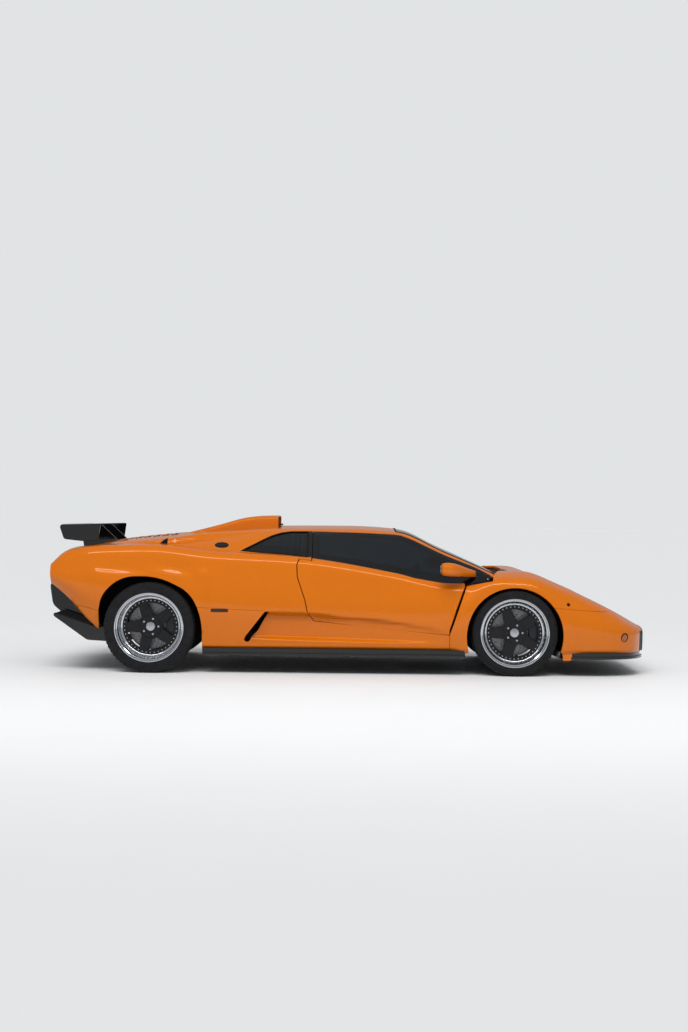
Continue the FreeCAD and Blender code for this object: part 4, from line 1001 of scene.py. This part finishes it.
# Diffuser with its fins, the valance above it and the four exhausts
FIN_PLACES = (-860, -600, -360, -120, 130, 370, 610, 870)
fin = [(-1704, 214), (-1704, 322), (-1834, 322), (-2138, 422), (-2148, 400), (-1900, 226)]
diffuser = [upright(fillet(fin, 16, True, 3), y, 10, roll=1.2) for y in FIN_PLACES]
TRAY_HALF, VALANCE_HALF = 868, 598
tray = [(-1700, 318), (-1834, 318), (-2136, 416), (-2142, 408), (-1840, 306), (-1700, 306)]
diffuser.append(upright(tray, -TRAY_HALF, 2 * TRAY_HALF, roll=1.2))
piece("diffuser_tray", diffuser, BLACK, replaced=["rear_diffuser"])
valance = [(-1900, 334), (-1900, 400), (-2060, 590), (-2163, 652), (-2212, 618), (-2190, 470), (-2120, 410)]
valance = upright(fillet(valance, 26, True, 4), -VALANCE_HALF, 2 * VALANCE_HALF, roll=6, step=400)
piece("exhaust_valance", [valance], BLACK)
EXHAUST_SPACING, EXHAUST_Z, EXHAUST_AXIS = 105, 504, (-0.9985, 0, -0.054)
tip = [(43, 0), (44, 2), (44, 88), (39, 92), (37, 90), (37, 8), (37, 0)]
baffle = [(0.01, 10), (37, 10), (37, 14), (0.01, 14)]
tips, baffles = [], []
for y in [EXHAUST_SPACING * place for place in (-1.5, -0.5, 0.5, 1.5)]:
    tips.append(turned(tip, (-2121, y, EXHAUST_Z), EXHAUST_AXIS, 48))
    baffles.append(turned(baffle, (-2150, y, EXHAUST_Z - 1), EXHAUST_AXIS, 24))
piece("exhaust_pipes", tips, STEEL, replaced=["exhaust_tips"])
piece("exhaust_baffles", baffles, INNER)

# Rear wing: blade, end plates, and two stays with their bolts
WING_HALF = 758
upper = smooth_line([(-1866, 968), (-1935, 986), (-2030, 1019), (-2104, 1066)])
lower = smooth_line([(-2107, 1060), (-2030, 990), (-1935, 953), (-1872, 954), (-1864, 961)])
wing_line = [tuple(p) for p in (*upper, *lower)]
wing = [upright(wing_line, -WING_HALF, 2 * WING_HALF, roll=0.6, step=400)]
STAY_PLACES, STAY_BOLT_Y = (-293.5, 306.5), 307
plate = [(-1842, 952), (-1826, 1070), (-2116, 1060), (-2122, 1044), (-2092, 958), (-1960, 944)]
wing += [upright(fillet(plate, 14, True, 4), y, 9, roll=2) for y in (-WING_HALF - 1, WING_HALF + 10)]
stay = [(-1752, 905), (-1762, 950), (-1886, 1064), (-1930, 1064), (-2030, 1000), (-2008, 872)]
wing += [upright(fillet(stay, 14, True, 4), y, 13, roll=2) for y in STAY_PLACES]
piece("wing", wing, BLACK, replaced=["rear_wing"])
stay_bolts = [bolt((x, way * STAY_BOLT_Y, z), (0, way, 0), 6, 5) for way in (1, -1)
              for x, z in ((-1830, 918), (-1975, 900), (-1915, 972), (-2000, 985))]
piece("wing_stay_bolts", stay_bolts, BOLT)

# Tail: grille of upright slats, a round red and a round amber lamp on each side, and a blank plate
slats = [crosswise(rounded_box(768, 656, 771, 20), -2128, 8, way=-1, roll=1)]
slat = [(-2151, 657), (-2133, 657), (-2133, 770), (-2151, 770)]
slats += [upright(slat, y, 4, roll=0.6) for y in range(-430, 440, 22)]
piece("tail_grille_slats", slats, PLASTIC, replaced=["tail_grille"])
LAMP_X, LAMP_Z, RED_Y, AMBER_Y = -2132, 713, 640, 500
dome = [(0.01, 0), (50, 0), (50, 14), (44, 22), (26, 26), (0.01, 27)]
bezel = [(50, 0), (56, 0), (56, 18), (53, 22), (50, 18)]
bezels = []
for name, y, acrylic, nodes_hidden in (("reds", RED_Y, RED, ["tail_lamps"]), ("ambers", AMBER_Y, AMBER, [])):
    centres = [(LAMP_X, way * y, LAMP_Z) for way in (1, -1)]
    lamps = [turned(dome, centre, (-1, 0, 0), 64) for centre in centres]
    piece(f"tail_lamp_{name}", lamps, acrylic, replaced=nodes_hidden)
    bezels += [turned(bezel, centre, (-1, 0, 0), 64) for centre in centres]
piece("tail_lamp_bezels", bezels, BLACK)
piece("number_plate_blank", [crosswise(rounded_box(250, 545, 605, 8), -2209, 3, way=-1, roll=1)], PLASTIC)

# Wheels: tyre, split rim, five-spoked face, bolts, drilled disc and caliper
SPOKES, FACE_R, RIM_BOLT_R, NUT_R, DISC_R = 5, 203, 190, 58, 169
UP, OUT, FORWARD, BACKWARD, DOWN = (0, 0, 1), (0, 1, 0), (1, 0, 0), (-1, 0, 0), (0, 0, -1)


def tyre_profile(radius, half):
    """A tyre's section: wall, tread with four grooves, and the other wall."""
    wall = [(245, half - 18), (249, half - 9), (257, half - 4), (270, half - 1), (284, half - 0.5)]
    wall += [(radius - a, half - b) for a, b in ((18, 3), (9, 8), (3, 15), (0.6, 24))]
    tread = []
    for place in (0.52, 0.18, -0.18, -0.52):
        g = place * half
        tread += [(radius, g + 6), (radius - 7, g + 4), (radius - 7, g - 4), (radius, g - 6)]
    return wall + tread + [(r, -w) for r, w in reversed(wall)]


def rim_profile(edge, seat, deep):
    """The rim's section from its edge to the seat of the face and back; a deep one has one more step."""
    lip = [(251, -3), (252, 0), (250, 3), (246, 4), (242, 1), (240.5, -6), (239, -14), (231, -19), (229, -24),
           (228, -32)] + [(226, -62), (222, -66), (221, -74)] * deep
    ledge = [(218, 16), (211, 9), (206, 7), (FACE_R, 6), (180, 5), (180, -10), (214, -12)]
    back = [(224, 40), (232, 14), (240, 2), (251, -2), (252, 3), (243, 12), (238, 30)]
    sections = ((lip, edge), (ledge, seat), (back, -edge), ([(238, -30), (243, -12)], edge))
    return [(r, start + w) for points, start in sections for r, w in points]


def window(k, inner, outer):
    """One opening between two spokes, in the wheel's face."""
    half = 180 / SPOKES
    middle = half + 2 * half * k
    a = math.degrees(math.asin(40 / inner))
    b = math.degrees(math.asin(27 / outer))
    points = arc(0, 0, inner, middle - half + a, middle + half - a)
    points += arc(0, 0, outer, middle + half - b, middle - half + b)
    return fillet(points[:1] + points[1:-1:2] + points[-1:], 7, True, 2)


def around(centre, radius, y, angles):
    """Places on a circle about a wheel's axle, y outwards from its centre."""
    return [centre + [radius * math.cos(t), y, radius * math.sin(t)] for t in angles]


windows = [window(k, 88, 174) for k in range(SPOKES)]
drilled = [arc(x, z, 4.2, 0, 315, 45) for radius, start in ((98, 0), (116, 5), (134, 10), (152, 15))
           for x, z in arc(0, 0, radius, start, start + 345, 15)[:-1]]
shoe = [(104, -70), (150, -73), (172, -60), (185, -32), (188, 0), (185, 32), (172, 60), (150, 73), (104, 70),
        (110, 40), (112, 0), (110, -40)]
shoe = [(a, -b) for a, b in fillet(shoe, 14, True, 3)]
bridge = [(175, -50), (188, -26), (189, 0), (188, 26), (175, 50)]
# Sections turned about the axle: radius, and place outwards from the seat of the face
hub = [(30, -40), (80, -40), (84, 6), (84, 12), (80, 15), (72, 15), (68, 12), (44, 12), (42, 16), (30, 16)]
cap = [(0.01, 2), (33, 2), (33, 18), (30, 21), (20, 22.5), (0.01, 23)]
bell = [(26, -92), (79, -92), (84, -90), (84, -62), (76, -12), (26, -12)]
DISC_DEPTH, FACE_DEPTHS = 64, {"front": 62, "rear": 132}
CALIPERS = {"front": ("knuckle_SIDE", ["front_SIDE_caliper"], []), "rear": ("root", [], ["rear_calipers"])}
for end, centre, width in (("front", FRONT_WHEEL, FRONT_WIDTH), ("rear", REAR_WHEEL, REAR_WIDTH)):
    tyre_r = centre[2]
    wheel, name = f"{end}_wheel_SIDE", f"{end}_SIDE"

    def tread_cut(i, r, w, tyre_r=tyre_r, half=width / 2):
        """Cuts across the tread's shoulders at every fifth step."""
        cut = (r > tyre_r - 3.5) & (np.abs(w) > 0.56 * half)
        return np.where(cut & (i % 5 == 0), r - 5, r)

    rubber = turned(tyre_profile(tyre_r, width / 2), centre, OUT, 300, tread_cut)
    pair(f"{name}_tyre_rubber", [rubber], TYRE, wheel, [f"{name}_tyre"])
    edge = measured(f"{end}_left_rim")[1] / 2
    seat = edge - FACE_DEPTHS[end]
    rim = turned(rim_profile(edge, seat, end == "rear"), centre, OUT, 160)
    pair(f"{name}_rim_lip", [rim], LIP, wheel, [f"{name}_rim"])
    middle = centre + [0, seat, 0]
    face = slab(arc(0, 0, FACE_R, 0, 357), middle + [0, 8, 0], BACKWARD, UP, 15, windows, 2.5, 30)
    pair(f"{name}_spokes", [face, turned(hub, middle, OUT, 64)], WHEEL, wheel)
    bolts = [bolt(place, OUT, 5.2, 5) for place in around(middle, RIM_BOLT_R, 8, circle(40))]
    nut_angles = circle(SPOKES) + math.pi + math.pi / SPOKES
    bolts += [bolt(place, OUT, 9.5, 9) for place in around(middle, NUT_R, 12, nut_angles)]
    bolts.append(turned(cap, middle, OUT, 48))
    pair(f"{name}_bolts_and_cap", bolts, BOLT, wheel)
    behind = middle - [0, DISC_DEPTH, 0]
    disc_holes = [arc(0, 0, 80, 0, 355, 5), *drilled]
    disc = slab(arc(0, 0, DISC_R, 0, 357), behind, BACKWARD, UP, 29, disc_holes, 1, 40)
    pair(f"{name}_disc_face", [disc], DISC, wheel, [f"{name}_disc"])
    pair(f"{name}_disc_bell", [turned(bell, middle, OUT, 48)], CALIPER, wheel)
    caliper = [slab(shoe, behind + [0, y, 0], FORWARD, DOWN, 25, roll=5) for y in (28, -32)]
    caliper.append(slab(bridge, behind + [0, 4, 0], FORWARD, DOWN, 38, roll=2))
    caliper += [bolt(behind + [x, 27, z], OUT, 7, 6) for x, z in ((128, 48), (128, -48), (168, 0))]
    carrier, nodes_hidden, hidden_once = CALIPERS[end]
    pair(f"{name}_caliper_body", caliper, CALIPER, carrier, nodes_hidden, hidden_once)

# Cabin: padded seats on plinths, dashboard and steering wheel


def cushion(name, x, y, z, length, width, height, tilt, crown, fluting, once=()):
    """A stuffed pad on each side: crowned top, sides pulled in between its corners, sewn channels."""
    steps = 26
    verts, faces = [], []
    for layer in (1, -1):
        for i in range(steps + 1):
            for j in range(steps + 1):
                a, b = 2 * i / steps - 1, 2 * j / steps - 1
                pull = 1 - 0.035 * (1 - a * a) * abs(b) ** 3
                pull_long = 1 - 0.03 * (1 - b * b) * abs(a) ** 3
                edge = (1 - abs(a) ** 6) ** 0.5 * (1 - abs(b) ** 6) ** 0.5
                top = edge * (height / 2 + (crown * (1 - a * a) * (1 - b * b) if layer == 1 else 0))
                if layer == 1 and fluting:
                    top -= edge * 7 * abs(math.cos(math.pi * fluting * (a + 1) / 2)) ** 24 * (abs(b) < 0.62)
                    top -= edge * 9 * math.exp(-((abs(b) - 0.64) / 0.035) ** 2)
                verts.append((a * length / 2 * pull_long, b * width / 2 * pull, layer * top))
    row = steps + 1
    for layer in (0, 1):
        for i in range(steps):
            for j in range(steps):
                k = layer * row * row + i * row + j
                quad = (k, k + row, k + row + 1, k + 1)
                faces.append(quad if layer == 0 else quad[::-1])
    turn = np.array(Matrix.Rotation(-math.radians(tilt), 3, "Y"))
    placed = np.array(verts) @ turn.T + np.array([x, y, z])
    for made in pair(name, [(placed, faces)], LEATHER, once=once, levels=1):
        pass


SEAT_Y, BOLSTER_OFF = 370, 208
cushion("seat_base_SIDE", 150, SEAT_Y, 320, 470, 452, 100, 6, 16, 6, once=["seats"])
cushion("seat_back_SIDE", -178, SEAT_Y, 560, 520, 440, 90, 63, 14, 7)
cushion("seat_head_SIDE", -300, SEAT_Y, 850, 170, 270, 76, 66, 12, 0)
cushion("seat_bolster_SIDE_outer", 150, SEAT_Y + BOLSTER_OFF, 352, 440, 74, 96, 6, 8, 0)
cushion("seat_bolster_SIDE_inner", 150, SEAT_Y - BOLSTER_OFF, 352, 440, 74, 96, 6, 8, 0)
plinth = fillet([(-110, 184), (380, 184), (400, 290), (-90, 250)], 20, True, 3)
pair("seat_plinth_SIDE", [upright(plinth, SEAT_Y - 215, 430, roll=4, step=200)], PLASTIC)
dash = smooth_line([(646, 560), (644, 610), (664, 662), (730, 690), (820, 694), (896, 688)], 5)
dash_line = [tuple(p) for p in dash] + [(896, 564), (804, 486), (704, 504)]
piece("dashboard_roll", [upright(dash_line, -492, 984, roll=5, step=300)], LEATHER, replaced=["dashboard"])

COLUMN_TILT, STEERING_R, RIM_R = math.radians(22), 172, 13
hub = np.array([500, SEAT_Y, 610])
axis = np.array([math.cos(COLUMN_TILT), 0, -math.sin(COLUMN_TILT)])
up = np.array([math.sin(COLUMN_TILT), 0, math.cos(COLUMN_TILT)])
across = np.cross(axis, up)
rings = []
for angle in circle(48):
    outwards = across * math.cos(angle) + up * math.sin(angle)
    rings.append([hub + outwards * (STEERING_R + RIM_R * math.cos(t)) + axis * RIM_R * math.sin(t)
                  for t in circle(12)])
piece("steering_rim", [strung(rings, capped=False, closed=True)], LEATHER, replaced=["steering_wheel"])
boss = [(0.01, -14), (44, -14), (50, -6), (50, 14), (22, 20), (22, 196), (0.01, 196)]
spokes = [turned(boss, hub, axis, 40)]
for angle in (-0.12, math.pi + 0.12, -math.pi / 2):
    reach = across * math.cos(angle) + up * math.sin(angle)
    spoke = [(40, -15), (166, -11), (166, 11), (40, 15)]
    spokes.append(slab(spoke, hub - axis * 4, reach, np.cross(-axis, reach), 7))
piece("steering_hub_and_spokes", spokes, PLASTIC)

# Carried-over solids: their finishes, and the black structure drawn in behind the panels
FINISHES = {
    INNER: ["front_clip", "rear_clip", "roof_frame"],
    GLASS: ["rear_window"],
    CARPET: ["floor_pan"],
    STEEL_DARK: ["front_arms", "rear_arms", "engine_rails", "front_left_upright", "front_right_upright",
                 "rear_uprights"],
    BOLT: ["door_hinges"],
    CAST: ["engine_block"],
}
for material, names in FINISHES.items():
    for name in names:
        nodes[name].data.materials.clear()
        nodes[name].data.materials.append(material)
for name, inset in (("front_clip", 18), ("rear_clip", 28), ("roof_frame", 12)):
    weld = nodes[name].modifiers.new("joined", "WELD")
    weld.merge_threshold = 0.0002
    drawn_in = nodes[name].modifiers.new("drawn_in", "DISPLACE")
    drawn_in.mid_level = 0.0
    drawn_in.strength = -inset * MM

# Stage: pale floor, soft lamps, camera
scene = bpy.context.scene


def placed_object(name, data):
    """An object of its data, in the scene."""
    made = bpy.data.objects.new(name, data)
    scene.collection.objects.link(made)
    return made


FLOOR_HALF = 400
floor_finish = substance("pale_studio_floor", "E4E5E6", 0.6, Specular_IOR_Level=0.1)
uneven(floor_finish, 400, 0.6, 0.75)
floor_mesh = bpy.data.meshes.new("floor")
floor_corners = [(FLOOR_HALF * a, FLOOR_HALF * b, 0) for a, b in ((-1, -1), (1, -1), (1, 1), (-1, 1))]
floor_mesh.from_pydata(floor_corners, [], [(0, 1, 2, 3)])
floor_mesh.materials.append(floor_finish)
placed_object("floor", floor_mesh)

# Grey light from all round, and a paler background where the camera looks past the car
world = scene.world or bpy.data.worlds.new("studio")
scene.world = world
world.use_nodes = True
light_grey = add(world, "Background", {"Color": linear("DADCDE"), "Strength": 0.55})
pale_grey = add(world, "Background", {"Color": linear("E1E3E5"), "Strength": 1.0})
seen = add(world, "LightPath", give="Is Camera Ray")
either = add(world, "MixShader", {0: seen, 1: light_grey, 2: pale_grey})
world.node_tree.links.new(either, world.node_tree.nodes["World Output"].inputs["Surface"])


def aimed(made, direction):
    """Turns a light to shine in a direction."""
    made.rotation_euler = Vector(direction).to_track_quat("-Z", "Y").to_euler()


def broad_light(name, direction, strength, spread):
    """Light from one direction, softened by its angular spread in degrees."""
    data = bpy.data.lights.new(name, "SUN")
    data.energy, data.angle = strength, math.radians(spread)
    made = placed_object(name, data)
    made.visible_glossy = False
    aimed(made, direction)


broad_light("key", (0.15, 0.8, -1.0), 2.0, 40)
broad_light("far_side", (-0.2, -0.9, -0.8), 0.6, 60)
STRIP_PLACE, STRIP_TARGET = Vector((0, -4.6, 4.2)), Vector((0, -0.9, 0.6))
strip = bpy.data.lights.new("long_strip_over_shoulder", "AREA")
strip.shape = "RECTANGLE"
strip.size, strip.size_y, strip.energy = 8.5, 0.42, 95
strip_object = placed_object("long_strip_over_shoulder", strip)
strip_object.location = STRIP_PLACE
aimed(strip_object, STRIP_TARGET - STRIP_PLACE)

# Camera on the right of the car, at the height of its roof, turned a little off square
SENSOR_MM, FOCAL_WIDTHS = 36, 1736 / 1032
camera_data = bpy.data.cameras.new("camera")
camera_data.sensor_width = SENSOR_MM
camera_data.lens = FOCAL_WIDTHS * SENSOR_MM
camera_data.clip_end = 200
camera = placed_object("camera", camera_data)
camera.location = (-0.036, -13.52, 1.15)
upright_view = Matrix.Rotation(math.radians(90), 3, "X")
camera.rotation_euler = (upright_view @ Matrix.Rotation(math.radians(0.7), 3, "Z")).to_euler()
scene.camera = camera
scene.view_settings.view_transform = "Standard"
